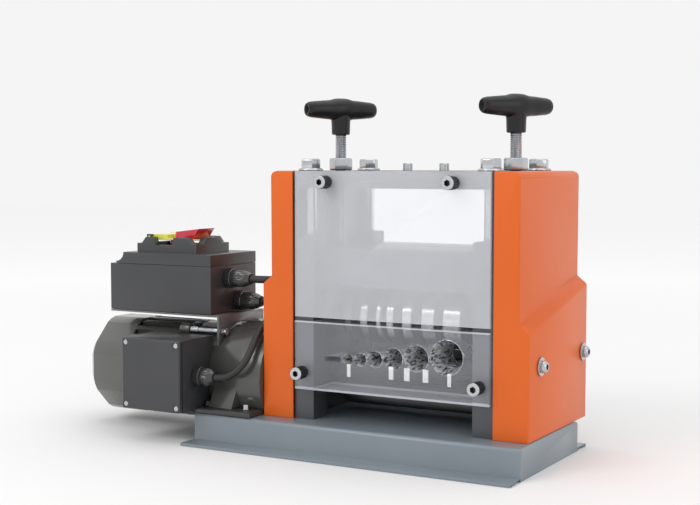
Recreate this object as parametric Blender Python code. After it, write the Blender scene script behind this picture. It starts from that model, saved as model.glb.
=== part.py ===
"""Bench wire stripping machine, built from separate pieces. Lengths are in metres, +Z is up.

The design frame has X = 0 midway between the side covers, Y = 0 at the middle of their depth and
Z = 0 at the floor. The root empty moves it so that the origin lies under the middle of the machine.
"""

import math

import bmesh
import bpy
from mathutils import Matrix, Vector

# Clearance between pieces that touch, and how far a cutter runs past a face
GAP = 0.0003
OVERRUN = 0.002

# Base channel
BASE_HEIGHT = 0.030
BASE_SHEET = 0.003
BASE_LEFT = 0.2141
BASE_RIGHT = 0.1471
BASE_CENTRE_Y = -0.0272
BASE_HALF_DEPTH = 0.0752
BASE_BEND = 0.004
FLANGE_REACH = 0.025
FLANGE_HOLE_RADIUS = 0.004
FLANGE_HOLE_INSET = 0.028

# Side plates, each a web with two posts that form a slideway
SIDE_OUTER = 0.109
SIDE_WEB = 0.0042
SIDE_HALF_DEPTH = 0.075
POST_WIDTH = 0.022
POST_DEPTH = 0.026
POST_HEIGHT = 0.1837

# Top plate and what stands on it
FRAME_HEIGHT = 0.280
TOP_PLATE = 0.017
BOLT_X = 0.0982
BOLT_Y = 0.061
BOLT_RADIUS = 0.006
BOLT_FLAT = 0.018
BOLT_HEAD = 0.010
BOLT_FLANGE = 0.0025
BOLT_FLANGE_RADIUS = 0.0125
BOLT_IN_POST = 0.022
NUT_CORNERS = 0.024
NUT_HEIGHT = 0.0127
STUD_RADIUS = 0.005
STUD_RISE = 0.0076
STUD_DEPTH = 0.010
STUD_LEFT = 0.0197
STUD_RIGHT = 0.0212

# Sheet metal side covers
COVER_INNER = SIDE_OUTER + GAP
COVER_SHEET = 0.002
COVER_HALF_DEPTH = 0.0785
COVER_UPPER = 0.1347
COVER_LOWER = 0.1448
COVER_STEP_FRONT = 0.138
COVER_STEP_BACK = 0.174
COVER_STEP_DROP = 0.008
COVER_ROUND = 0.007
COVER_SCREW_Z = 0.098
COVER_SCREW_FRONT = 0.050
COVER_SCREW_BACK = 0.066
COVER_SCREW_HIGH_Z = 0.150
COVER_SCREW_RADIUS = 0.004
COVER_SCREW_BITE = 0.003
COVER_WASHER_RADIUS = 0.009
COVER_WASHER = 0.0016
COVER_HEAD_RADIUS = 0.006
COVER_HEAD = 0.0052
COVER_SOCKET_RADIUS = 0.0032
COVER_SOCKET_DEPTH = 0.003

# Clear upper guard and clear guide block
GUARD_SIDE_MARGIN = 0.003
GUARD_HALF_WIDTH = SIDE_OUTER - GUARD_SIDE_MARGIN
GUARD_SHEET = 0.004
GUARD_BOTTOM = 0.134
GUARD_SCREW_X = 0.0688
GUARD_SCREW_DROP = 0.011
GUIDE_BOTTOM = 0.061
GUIDE_TOP = 0.130
GUIDE_FLANGE = 0.0045
GUIDE_BACK = 0.038
GUIDE_SCREW_INSET = 0.0098
GUIDE_SCREW_X = GUARD_HALF_WIDTH - GUIDE_SCREW_INSET
GUIDE_SCREW_Z = 0.0785
THUMB_RADIUS = 0.0065
THUMB_LENGTH = 0.015
THUMB_SHANK = 0.003
THUMB_BITE = 0.010
THUMB_SOCKET_RADIUS = 0.003
THUMB_SOCKET_DEPTH = 0.004

# Channels of the guide block: place along X, bore radius and funnel radius
CHANNEL_FLOOR = 0.0915
FUNNEL_DEPTH = 0.014
CHANNELS = (
    (-0.0450, 0.0030, 0.0060),
    (-0.0310, 0.0040, 0.0070),
    (-0.0150, 0.0055, 0.0085),
    (0.0050, 0.0075, 0.0110),
    (0.0300, 0.0095, 0.0135),
    (0.0620, 0.0125, 0.0175),
)
SLOT_X = -0.062
SLOT_HALF_WIDTH = 0.009
SLOT_HEIGHT = 0.005

# Carriage
CARRIAGE_BOTTOM = 0.166
CARRIAGE_HEIGHT = 0.037
CARRIAGE_TOP = CARRIAGE_BOTTOM + CARRIAGE_HEIGHT
CARRIAGE_HALF_DEPTH = 0.060
EAR_BOTTOM = 0.108
SCREW_POCKET = 0.018
EAR_INNER = 0.087

# Cutter shaft: lands are the polished stretches, a blade stands in each gap between them
CUTTER_Z = 0.131
CUTTER_JOURNAL = 0.012
CUTTER_HUB = 0.022
CUTTER_LAND = 0.030
CUTTER_BLADE = 0.034
BLADE_THICKNESS = 0.002
BLADE_ROOT = 0.004
CUTTER_HALF_LENGTH = 0.084
CUTTER_LANDS = (
    (-0.0766, -0.0699),
    (-0.0590, -0.0508),
    (-0.0404, -0.0358),
    (-0.0289, -0.0210),
    (-0.0110, -0.0007),
    (0.0105, 0.0245),
    (0.0342, 0.0531),
)
LAST_BLADE_X = 0.062

# Feed roller
ROLLER_Z = 0.064
ROLLER_RADIUS = 0.027
ROLLER_HALF_LENGTH = 0.084
ROLLER_JOURNAL = 0.012
ROLLER_CHAMFER = 0.001
ROLLER_END = 0.113
ROLLER_LEFT_END = 0.133
GEAR_SEAT_RADIUS = 0.008
GEAR_SEAT_FROM = 0.112

# Adjusting screws and their T-handles
SCREW_RISE = 0.055
SCREW_TIP_RADIUS = 0.004
HANDLE_STEM_RADIUS = 0.0105
HANDLE_STEM_FOOT_RADIUS = 0.0095
HANDLE_CLEARANCE = 0.037
HANDLE_STEM_HEIGHT = 0.026
HANDLE_STEM_BOTTOM = FRAME_HEIGHT + HANDLE_CLEARANCE
HANDLE_AXIS_Z = HANDLE_STEM_BOTTOM + HANDLE_STEM_HEIGHT
HANDLE_HALF_LENGTH = 0.0395
HANDLE_MIDDLE_RADIUS = 0.012
HANDLE_WAIST_RADIUS = 0.010
HANDLE_END_RADIUS = 0.0075
HANDLE_END_ROUND = 0.002
HANDLE_TURN = math.radians(57)

# Drive gears in the left cover
DRIVE_MODULE = 0.0015
PINION_TEETH = 13
ROLLER_GEAR_TEETH = 23
GEAR_LEFT = 0.130
GEAR_WIDTH = 0.012

# Gearhead stages
STAGE_MODULE = 0.0008
STAGE_PINION_TEETH = 12
STAGE_WHEEL_TEETH = 48
STAGE_WIDTH = 0.008
FIRST_STAGE_LEFT = 0.218
SECOND_STAGE_LEFT = 0.190
LAYSHAFT_RADIUS = 0.0035
LAYSHAFT_LEFT = 0.226
LAYSHAFT_BITE = 0.004
OUTPUT_RADIUS = 0.007
OUTPUT_LEFT = 0.194
OUTPUT_RIGHT = 0.116

# Motor on its side, its axis along X
MOTOR_RADIUS = 0.053
MOTOR_LEFT = 0.3245
MOTOR_RIGHT = 0.246
FIN_COUNT = 26
FIN_DEPTH = 0.006
MOTOR_BORE = 0.040
MOTOR_WALL = 0.006
LUG_RADIUS = 0.0065
LUG_LENGTH = 0.012
COWL_LEFT = 0.380
COWL_SHEET = 0.0015
COWL_CHAMFER = 0.012
COWL_ACROSS = 0.052
COWL_CORNER_SHARE = 1.04
COWL_FLAT_TURN = math.radians(15)
COWL_INLET = 0.020
ROTOR_SHAFT = 0.003
ROTOR_RADIUS = 0.026
ROTOR_LEFT = 0.306
ROTOR_RIGHT = 0.262
AIR_GAP = 0.0008
STATOR_MARGIN = 0.004
FAN_RADIUS = 0.042
FAN_HUB = 0.009
FAN_WIDTH = 0.018
FAN_DISC = 0.002
FAN_BLADES = 8
FAN_BLADE = 0.002
FAN_FROM_COWL = 0.010

# Gear housing with its foot, on a black plate
HOUSING_RIGHT = 0.1451
FLARE_LEFT = 0.199
FLARE_RIGHT = 0.188
FLARE_RADIUS = 0.0585
HOUSING_WALL = 0.007
CAVITY_RADIUS = 0.0222
MOUNT_PLATE = 0.005
MOUNT_PLATE_RIGHT = 0.146
FOOT_LEFT = 0.202
FOOT_RIGHT = 0.174
FOOT_HALF_BOTTOM = 0.067
FOOT_HALF_TOP = 0.055
FOOT_TOP = 0.060

# Terminal box
TERMINAL_LEFT = 0.287
TERMINAL_RIGHT = 0.213
TERMINAL_FRONT = 0.130
TERMINAL_BACK = 0.070
TERMINAL_BOTTOM = 0.033
TERMINAL_TOP = 0.107
TERMINAL_LID = 0.006
TERMINAL_WALL = 0.003
TERMINAL_EDGE = 0.002
TERMINAL_GLAND_Y = -0.100
TERMINAL_GLAND_Z = 0.068

# Switch box, its bracket and the standoffs that carry the bracket
BRACKET_SHEET = 0.002
BRACKET_TOP = 0.1277
BRACKET_RIGHT = 0.206
BRACKET_LEFT = 0.350
BRACKET_LEG_BOTTOM = 0.091
STANDOFF_RADIUS = 0.0045
STANDOFF_REACH = 0.035
STANDOFF_Z = 0.1105
STANDOFF_HEAD_RADIUS = 0.0045
STANDOFF_HEAD = 0.005
STANDOFF_PIN = 0.0025
SWITCH_LEFT = 0.350
SWITCH_RIGHT = 0.216
SWITCH_FRONT = -0.070
SWITCH_BACK = 0.016
SWITCH_BODY_TOP = 0.1785
SWITCH_WALL = 0.003
LID_TOP = 0.191
LID_LEFT = 0.332
LID_HOLLOW = 0.010
FRAME_LEFT = 0.3205
FRAME_RIGHT = 0.2413
FRAME_FRONT = -0.060
FRAME_BACK = 0.001
FRAME_LOW_TOP = 0.2008
FRAME_TOP = 0.2075
FRAME_CORNER = 0.006
FRAME_SIDE_CORNER = 0.014
FRAME_RAMP = 0.0055
FRAME_WALL = 0.008
NOTCH_LEFT = 0.296
NOTCH_RIGHT = 0.274
NOTCH_FLOOR = 0.199
NOTCH_SLANT = 0.0025
FLAP_RISE = 0.0065
FLAP_THICKNESS = 0.006
FLAP_TONGUE = 0.0012
FLAP_LEFT = 0.307
FLAP_RIGHT = 0.2505
FLAP_HALF_WIDTH = 0.019
FLAP_HINGE_RADIUS = 0.003
PADDLE_LEFT = 0.280
PADDLE_RIGHT = 0.249
PADDLE_HEIGHT = 0.0112
PADDLE_HALF_WIDTH = 0.015
PADDLE_FLARE = 0.008
PADDLE_TILT = 0.0038
BUTTON_RADIUS = 0.007
START_TOP = 0.199
STOP_TOP = 0.203
BUTTON_STEM = 0.004
START_X = -0.268
STOP_X = -0.290

# Cable glands
GLAND_LENGTH = 0.030
TERMINAL_GLAND_LENGTH = 0.023
GLAND_NUT_LENGTH = 0.008
GLAND_NUT_RADIUS = 0.0105
GLAND_DOME_RADIUS = 0.0092
GLAND_MOUTH_RADIUS = 0.0060
GLAND_SPIGOT_RADIUS = 0.007
MAINS_GLAND_Y = -0.038
MAINS_GLAND_Z = 0.165
LEAD_GLAND_Y = -0.018
LEAD_GLAND_Z = 0.1395

# Guard under the wire outlet
REAR_GUARD_SHEET = 0.003
REAR_GUARD_INSET = 0.006
REAR_GUARD_TOP = 0.090

# Mains cord, motor lead, coil and plug
CORD_RADIUS = 0.004
LEAD_RADIUS = 0.0037
COIL_TURNS = 5
COIL_RADIUS = 0.044
COIL_PITCH = 0.0088
COIL_LAYER = 0.0087
COIL_FLOOR = 0.0043
COIL_TAIL = 0.035
COIL_SIDES = 24
CLIMB_SHARE = 0.25
COIL_X = -0.070
COIL_Y = 0.190
PLUG_LENGTH = 0.038
PLUG_WIDTH = 0.036
PLUG_HEIGHT = 0.026
PLUG_EDGE = 0.004
PLUG_NECK_LENGTH = 0.018
PLUG_NECK_RADIUS = 0.0065
PIN_RADIUS = 0.0024
PIN_LENGTH = 0.019
PIN_SPREAD = 0.0095

# Facets of round pieces
FINE = 28
MEDIUM = 20
COARSE = 12

MOTOR_Y = -DRIVE_MODULE * (PINION_TEETH + ROLLER_GEAR_TEETH) / 2
STAGE_DISTANCE = STAGE_MODULE * (STAGE_PINION_TEETH + STAGE_WHEEL_TEETH) / 2
TOP_PLATE_BOTTOM = FRAME_HEIGHT - TOP_PLATE
FLOOR_OF_PIECES = BASE_HEIGHT + GAP
POST_TOP = FLOOR_OF_PIECES + POST_HEIGHT
POST_INNER = SIDE_OUTER - POST_WIDTH
SLIDEWAY_HALF = SIDE_HALF_DEPTH - POST_DEPTH
FRONT_FACE = -SIDE_HALF_DEPTH
MACHINE_LEFT = -COWL_LEFT
MACHINE_RIGHT = COVER_LOWER + GAP + COVER_WASHER + COVER_HEAD
MACHINE_FRONT = -TERMINAL_FRONT
MACHINE_BACK = COVER_HALF_DEPTH

# Shares of a gear's module, of its tooth pitch, and of a fin's pitch
ADDENDUM_SHARE = 0.7
DEDENDUM_SHARE = 1.1
TOOTH_SHARE = 0.44
PRESSURE_ANGLE = math.radians(20)
FIN_SHARE = 0.42

for left_over in list(bpy.data.objects):
    bpy.data.objects.remove(left_over, do_unlink=True)


def point_on(axis, along, first, second):
    """Point with one coordinate along the named axis and the other two in X, Y, Z order."""
    if axis == "X":
        return Vector((along, first, second))
    if axis == "Y":
        return Vector((first, along, second))
    return Vector((first, second, along))


def as_object(bm):
    """Object made of a finished bmesh, its faces turned outward."""
    bmesh.ops.recalc_face_normals(bm, faces=bm.faces)
    mesh = bpy.data.meshes.new("solid")
    bm.to_mesh(mesh)
    bm.free()
    made = bpy.data.objects.new("solid", mesh)
    bpy.context.scene.collection.objects.link(made)
    return made


def block(low, high, edge=0):
    """Box between two corners, its edges broken by a small bevel where one is given."""
    bm = bmesh.new()
    bmesh.ops.create_cube(bm, size=1)
    for vert in bm.verts:
        share = vert.co + Vector((0.5, 0.5, 0.5))
        vert.co = [low[i] + (high[i] - low[i]) * share[i] for i in range(3)]
    bmesh.ops.recalc_face_normals(bm, faces=bm.faces)
    if edge:
        bmesh.ops.bevel(bm, geom=list(bm.edges), offset=edge, segments=1, affect="EDGES")
    return as_object(bm)


def extruded(axis, outline, start, end):
    """Closed solid of an outline drawn across the named axis, from start to end along it."""
    bm = bmesh.new()
    near = [bm.verts.new(point_on(axis, start, *point)) for point in outline]
    far = [bm.verts.new(point_on(axis, end, *point)) for point in outline]
    bm.faces.new(near)
    bm.faces.new(far)
    for i in range(len(outline)):
        j = (i + 1) % len(outline)
        bm.faces.new((near[i], near[j], far[j], far[i]))
    return as_object(bm)


def turned(axis, centre, profile, sides, closed=False):
    """Profile of (place along the axis, radius) spun round it; a closed one makes a ring."""
    bm = bmesh.new()
    rings = []
    for along, radius in profile:
        ring = []
        for k in range(sides):
            angle = 2 * math.pi * k / sides
            first = centre[0] + radius * math.cos(angle)
            second = centre[1] + radius * math.sin(angle)
            ring.append(bm.verts.new(point_on(axis, along, first, second)))
        rings.append(ring)
    pairs = list(zip(rings, rings[1:]))
    if closed:
        pairs.append((rings[-1], rings[0]))
    else:
        bm.faces.new(rings[0])
        bm.faces.new(rings[-1])
    for near, far in pairs:
        for i in range(sides):
            j = (i + 1) % sides
            bm.faces.new((near[i], near[j], far[j], far[i]))
    return as_object(bm)


def rod(axis, centre, radius, start, end, sides=COARSE):
    """Plain cylinder along the named axis."""
    return turned(axis, centre, [(start, radius), (end, radius)], sides)


def around(radius):
    """Radius of a finely faceted cutter whose flats clear a round piece of the given radius."""
    return radius / math.cos(math.pi / FINE)


def combine(target, tools, operation):
    """Target with each tool cut out of it or joined to it; the tools are used up."""
    for tool in tools:
        modifier = target.modifiers.new("combine", "BOOLEAN")
        modifier.operation = operation
        modifier.solver = "EXACT"
        modifier.object = tool
        depsgraph = bpy.context.evaluated_depsgraph_get()
        mesh = bpy.data.meshes.new_from_object(target.evaluated_get(depsgraph))
        target.modifiers.clear()
        target.data = mesh
        bpy.data.objects.remove(tool)
    return target


def cut(target, *tools):
    return combine(target, tools, "DIFFERENCE")


def join(target, *tools):
    return combine(target, tools, "UNION")


def finish_of(name, colour, roughness, metallic):
    """Principled material for one piece."""
    material = bpy.data.materials.new(name + "_finish")
    material.use_nodes = True
    shader = material.node_tree.nodes["Principled BSDF"]
    shader.inputs["Base Color"].default_value = (*colour, 1)
    shader.inputs["Roughness"].default_value = roughness
    shader.inputs["Metallic"].default_value = metallic
    return material


def piece(made, name, finish, origin=(0, 0, 0)):
    """Name a solid, put its origin on its joint axis and hang it on the root."""
    made.name = name
    made.data.name = name
    if made.type == "MESH":
        made.data.transform(Matrix.Translation(-Vector(origin)))
    made.location = origin
    made.parent = ROOT
    made.data.materials.clear()
    made.data.materials.append(finish_of(name, *finish))
    return made


def polygon(centre, radius, sides, turn=0):
    """Regular outline with a corner at the given turn."""
    steps = [turn + 2 * math.pi * k / sides for k in range(sides)]
    return [(centre[0] + radius * math.cos(a), centre[1] + radius * math.sin(a)) for a in steps]


def arc(centre, radius, start, end, steps):
    """Points along an arc, both ends included."""
    angles = [start + (end - start) * k / steps for k in range(steps + 1)]
    return [(centre[0] + radius * math.cos(a), centre[1] + radius * math.sin(a)) for a in angles]


def gear_outline(centre, teeth, module, first_tooth, flank_points):
    """Outline of an involute gear, one tooth centred on the direction first_tooth."""
    pitch = teeth * module / 2
    root = pitch - DEDENDUM_SHARE * module
    tip = pitch + ADDENDUM_SHARE * module
    base = pitch * math.cos(PRESSURE_ANGLE)
    at_pitch = math.tan(PRESSURE_ANGLE) - PRESSURE_ANGLE
    radii = [root + (tip - root) * k / (flank_points - 1) for k in range(flank_points)]

    def half_angle(radius):
        pressure = math.acos(min(1, base / radius))
        return TOOTH_SHARE * math.pi / teeth + at_pitch - (math.tan(pressure) - pressure)

    outline = []
    for k in range(teeth):
        middle = first_tooth + 2 * math.pi * k / teeth
        rising = [(radius, middle - half_angle(radius)) for radius in radii]
        falling = [(radius, middle + half_angle(radius)) for radius in reversed(radii)]
        for radius, angle in rising + falling:
            outline.append((centre[0] + radius * math.cos(angle),
                            centre[1] + radius * math.sin(angle)))
    return outline


# Finishes as colour, roughness and metallic value
ORANGE = ((0.72, 0.14, 0.03), 0.35, 0)
BASE_GREY = ((0.20, 0.24, 0.27), 0.4, 0)
STEEL_GREY = ((0.30, 0.31, 0.35), 0.4, 0.6)
BRIGHT_STEEL = ((0.72, 0.72, 0.72), 0.22, 1)
DARK_STEEL = ((0.10, 0.10, 0.10), 0.4, 1)
MOTOR_BLACK = ((0.035, 0.034, 0.028), 0.3, 0)
BOX_BLACK = ((0.035, 0.036, 0.04), 0.55, 0)
CORD_BLACK = ((0.015, 0.015, 0.016), 0.5, 0)
HANDLE_BLACK = ((0.02, 0.02, 0.02), 0.45, 0)
CLEAR = ((0.86, 0.88, 0.90), 0.08, 0)
RED = ((0.55, 0.01, 0.02), 0.4, 0)
GREEN = ((0.03, 0.35, 0.08), 0.4, 0)
YELLOW = ((0.75, 0.72, 0.10), 0.4, 0)
COPPER = ((0.55, 0.25, 0.12), 0.4, 0.8)

ROOT = bpy.data.objects.new("wire_stripping_machine", None)
bpy.context.scene.collection.objects.link(ROOT)
ROOT.location = (-(MACHINE_LEFT + MACHINE_RIGHT) / 2, -(MACHINE_FRONT + MACHINE_BACK) / 2, 0)

# Places where screws and shafts pass, shared by the pieces that they join
COVER_SCREWS = {
    "right": ((-COVER_SCREW_FRONT, COVER_SCREW_Z), (COVER_SCREW_BACK, COVER_SCREW_Z)),
    "left": ((COVER_SCREW_FRONT, COVER_SCREW_Z), (-COVER_SCREW_BACK, COVER_SCREW_HIGH_Z)),
}
GUARD_SCREW_Z = FRAME_HEIGHT - GUARD_SCREW_DROP
FLAP_Z = FRAME_LOW_TOP + FLAP_RISE
GUARD_FACE = FRONT_FACE - GAP - GUARD_SHEET
GUIDE_FACE = FRONT_FACE - GAP - GUIDE_FLANGE
SIGNS = {"left": -1, "right": 1}


def base_channel():
    """Folded sheet pan, open underneath, with a bolt flange front and rear."""
    front = BASE_CENTRE_Y - BASE_HALF_DEPTH
    back = BASE_CENTRE_Y + BASE_HALF_DEPTH
    bend = BASE_BEND
    section = [(front, 0), (front, BASE_HEIGHT - bend), (front + bend, BASE_HEIGHT),
               (back - bend, BASE_HEIGHT), (back, BASE_HEIGHT - bend), (back, 0)]
    pan = extruded("X", section, -BASE_LEFT, BASE_RIGHT)
    flange = block((-BASE_LEFT, front - FLANGE_REACH, 0), (BASE_RIGHT, back + FLANGE_REACH, BASE_SHEET))
    join(pan, flange)
    front += BASE_SHEET
    back -= BASE_SHEET
    top = BASE_HEIGHT - BASE_SHEET
    hollow = [(front, -OVERRUN), (front, top - bend), (front + bend, top),
              (back - bend, top), (back, top - bend), (back, -OVERRUN)]
    cut(pan, extruded("X", hollow, -BASE_LEFT + BASE_SHEET, BASE_RIGHT - BASE_SHEET))
    for x in (-BASE_LEFT + FLANGE_HOLE_INSET, BASE_RIGHT - FLANGE_HOLE_INSET):
        for side in (-1, 1):
            y = BASE_CENTRE_Y + side * (BASE_HALF_DEPTH + FLANGE_REACH / 2)
            cut(pan, rod("Z", (x, y), FLANGE_HOLE_RADIUS, -OVERRUN, BASE_SHEET + OVERRUN))
    piece(pan, "base_channel", BASE_GREY)


def motor_mount_plate():
    """Black plate that carries the motor's foot on the base."""
    low = (GAP - TERMINAL_RIGHT, BASE_CENTRE_Y - BASE_HALF_DEPTH, FLOOR_OF_PIECES)
    high = (-MOUNT_PLATE_RIGHT, BASE_CENTRE_Y + BASE_HALF_DEPTH, FLOOR_OF_PIECES + MOUNT_PLATE)
    piece(block(low, high), "motor_mount_plate", MOTOR_BLACK)


def side_plate(side):
    """Web with a post at its front and rear; the space between them guides the carriage."""
    sign = SIGNS[side]
    outer = sign * SIDE_OUTER
    web = sign * (SIDE_OUTER - SIDE_WEB)
    inner = sign * POST_INNER
    depth = SIDE_HALF_DEPTH
    way = SLIDEWAY_HALF
    section = [(outer, -depth), (inner, -depth), (inner, -way), (web, -way),
               (web, way), (inner, way), (inner, depth), (outer, depth)]
    top = TOP_PLATE_BOTTOM - GAP
    plate = extruded("Z", section, FLOOR_OF_PIECES, top)
    cut(plate, block((min(web, inner - sign * OVERRUN), -depth - OVERRUN, POST_TOP),
                     (max(web, inner - sign * OVERRUN), depth + OVERRUN, top + OVERRUN)))
    for y in (-BOLT_Y, BOLT_Y):
        cut(plate, rod("Z", (sign * BOLT_X, y), BOLT_RADIUS + GAP,
                       POST_TOP - BOLT_IN_POST - GAP, POST_TOP + OVERRUN))
    cut(plate, rod("X", (0, ROLLER_Z), ROLLER_JOURNAL + GAP, web - sign * OVERRUN,
                   outer + sign * OVERRUN, MEDIUM))
    for y, z in COVER_SCREWS[side]:
        cut(plate, rod("X", (y, z), COVER_SCREW_RADIUS + GAP,
                       outer - sign * (COVER_SCREW_BITE + GAP), outer + sign * OVERRUN))
    cut(plate, rod("Y", (sign * GUIDE_SCREW_X, GUIDE_SCREW_Z), THUMB_SHANK + GAP,
                   FRONT_FACE - OVERRUN, GUIDE_FACE + THUMB_BITE + GAP))
    piece(plate, side + "_side_plate", STEEL_GREY)


def top_plate():
    """Thick plate across both side plates, drilled for bolts, adjusting screws and studs."""
    plate = block((-SIDE_OUTER, -SIDE_HALF_DEPTH, TOP_PLATE_BOTTOM),
                  (SIDE_OUTER, SIDE_HALF_DEPTH, FRAME_HEIGHT))
    for sign in (-1, 1):
        for y in (-BOLT_Y, 0, BOLT_Y):
            cut(plate, rod("Z", (sign * BOLT_X, y), BOLT_RADIUS + GAP,
                           TOP_PLATE_BOTTOM - OVERRUN, FRAME_HEIGHT + OVERRUN))
        cut(plate, rod("Y", (sign * GUARD_SCREW_X, GUARD_SCREW_Z), THUMB_SHANK + GAP,
                       FRONT_FACE - OVERRUN, GUARD_FACE + THUMB_BITE + GAP))
    for x in (-STUD_LEFT, STUD_RIGHT):
        cut(plate, rod("Z", (x, 0), STUD_RADIUS + GAP, FRAME_HEIGHT - STUD_DEPTH - GAP,
                       FRAME_HEIGHT + OVERRUN))
    piece(plate, "top_plate", STEEL_GREY)


def top_bolt(name, x, y):
    """Hex flange bolt whose shank runs down into the post."""
    seat = FRAME_HEIGHT + GAP
    collar = seat + BOLT_FLANGE
    profile = [(POST_TOP - BOLT_IN_POST, BOLT_RADIUS), (seat, BOLT_RADIUS),
               (seat, BOLT_FLANGE_RADIUS), (collar, BOLT_FLANGE_RADIUS - BOLT_FLANGE / 2)]
    bolt = turned("Z", (x, y), profile, COARSE)
    corner = BOLT_FLAT / math.sqrt(3)
    head = extruded("Z", polygon((x, y), corner, 6), collar - BOLT_FLANGE / 2, collar + BOLT_HEAD)
    piece(join(bolt, head), name, BRIGHT_STEEL)


def adjusting_nut(side):
    """Fixed nut on the top plate that the adjusting screw turns in."""
    centre = (SIGNS[side] * BOLT_X, 0)
    seat = FRAME_HEIGHT + GAP
    nut = extruded("Z", polygon(centre, NUT_CORNERS / 2, 6), seat, seat + NUT_HEIGHT)
    cut(nut, rod("Z", centre, BOLT_RADIUS + GAP, seat - OVERRUN, seat + NUT_HEIGHT + OVERRUN))
    piece(nut, side + "_adjusting_nut", BRIGHT_STEEL)


def top_stud(name, x):
    stud = rod("Z", (x, 0), STUD_RADIUS, FRAME_HEIGHT - STUD_DEPTH, FRAME_HEIGHT + STUD_RISE)
    piece(stud, name, BRIGHT_STEEL)


def cover_section(inner, upper, lower, bottom, top, step, corner):
    """Front outline of a cover in X and Z, with its step and its rounded top corner."""
    bend = arc((upper - corner, top - corner), corner, 0, math.pi / 2, 4)
    return [(inner, bottom), (lower, bottom), (lower, step - COVER_STEP_DROP), (upper, step)] + \
        bend + [(inner, top)]


def lofted(front, back, front_y, back_y):
    """Closed solid between two outlines of X and Z that have the same number of points."""
    bm = bmesh.new()
    near = [bm.verts.new((x, front_y, z)) for x, z in front]
    far = [bm.verts.new((x, back_y, z)) for x, z in back]
    bm.faces.new(near)
    bm.faces.new(far)
    for i in range(len(front)):
        j = (i + 1) % len(front)
        bm.faces.new((near[i], near[j], far[j], far[i]))
    return as_object(bm)


def side_cover(side):
    """Sheet cover, open toward the side plate and underneath; the left one is the right one turned."""
    sheet = COVER_SHEET
    depth = COVER_HALF_DEPTH
    outer = [cover_section(COVER_INNER, COVER_UPPER, COVER_LOWER, FLOOR_OF_PIECES, FRAME_HEIGHT,
                           step, COVER_ROUND) for step in (COVER_STEP_FRONT, COVER_STEP_BACK)]
    inner = [cover_section(COVER_INNER - OVERRUN, COVER_UPPER - sheet, COVER_LOWER - sheet,
                           FLOOR_OF_PIECES - OVERRUN, FRAME_HEIGHT - sheet, step - sheet / 2,
                           COVER_ROUND - sheet) for step in (COVER_STEP_FRONT, COVER_STEP_BACK)]
    cover = lofted(*outer, -depth, depth)
    cut(cover, lofted(*inner, -depth + sheet, depth - sheet))
    sign = SIGNS[side]
    wall = (COVER_LOWER - sheet - OVERRUN, COVER_LOWER + OVERRUN)
    for y, z in COVER_SCREWS[side]:
        cut(cover, rod("X", (sign * y, z), COVER_SCREW_RADIUS + GAP, *wall))
    if side == "left":
        nose = DRIVE_MODULE * (PINION_TEETH / 2 + 1) + OVERRUN
        cut(cover, rod("X", (-MOTOR_Y, ROLLER_Z), nose, *wall, MEDIUM))
        cover.data.transform(Matrix.Rotation(math.pi, 4, "Z"))
    piece(cover, side + "_side_cover", ORANGE)


def cover_screw(name, side, y, z):
    """Socket screw and washer in one, from the cover into the side plate."""
    sign = SIGNS[side]
    seat = COVER_LOWER + GAP
    washer = seat + COVER_WASHER
    head = washer + COVER_HEAD
    profile = [(SIDE_OUTER - COVER_SCREW_BITE, COVER_SCREW_RADIUS), (seat, COVER_SCREW_RADIUS),
               (seat, COVER_WASHER_RADIUS), (washer, COVER_WASHER_RADIUS),
               (washer, COVER_HEAD_RADIUS), (head, COVER_HEAD_RADIUS)]
    screw = turned("X", (y, z), [(sign * along, radius) for along, radius in profile], COARSE)
    socket = extruded("X", polygon((y, z), COVER_SOCKET_RADIUS, 6),
                      sign * (head - COVER_SOCKET_DEPTH), sign * (head + OVERRUN))
    piece(cut(screw, socket), name, BRIGHT_STEEL)


def thumb_screw(name, x, z, face, reach):
    """Long knurled socket head screw that holds a clear guard from the front."""
    seat = face - GAP
    tip = face + reach
    profile = [(tip, THUMB_SHANK), (seat, THUMB_SHANK), (seat, THUMB_RADIUS),
               (seat - THUMB_LENGTH, THUMB_RADIUS)]
    screw = turned("Y", (x, z), profile, COARSE)
    socket = extruded("Y", polygon((x, z), THUMB_SOCKET_RADIUS, 6), seat - THUMB_LENGTH - OVERRUN,
                      seat - THUMB_LENGTH + THUMB_SOCKET_DEPTH)
    piece(cut(screw, socket), name, DARK_STEEL)


def upper_guard():
    """Clear sheet in front of the cutter shaft."""
    guard = block((-GUARD_HALF_WIDTH, GUARD_FACE, GUARD_BOTTOM),
                  (GUARD_HALF_WIDTH, FRONT_FACE - GAP, FRAME_HEIGHT))
    for sign in (-1, 1):
        cut(guard, rod("Y", (sign * GUARD_SCREW_X, GUARD_SCREW_Z), THUMB_SHANK + GAP,
                       GUARD_FACE - OVERRUN, FRONT_FACE + OVERRUN))
    piece(guard, "upper_guard", CLEAR)


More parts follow.
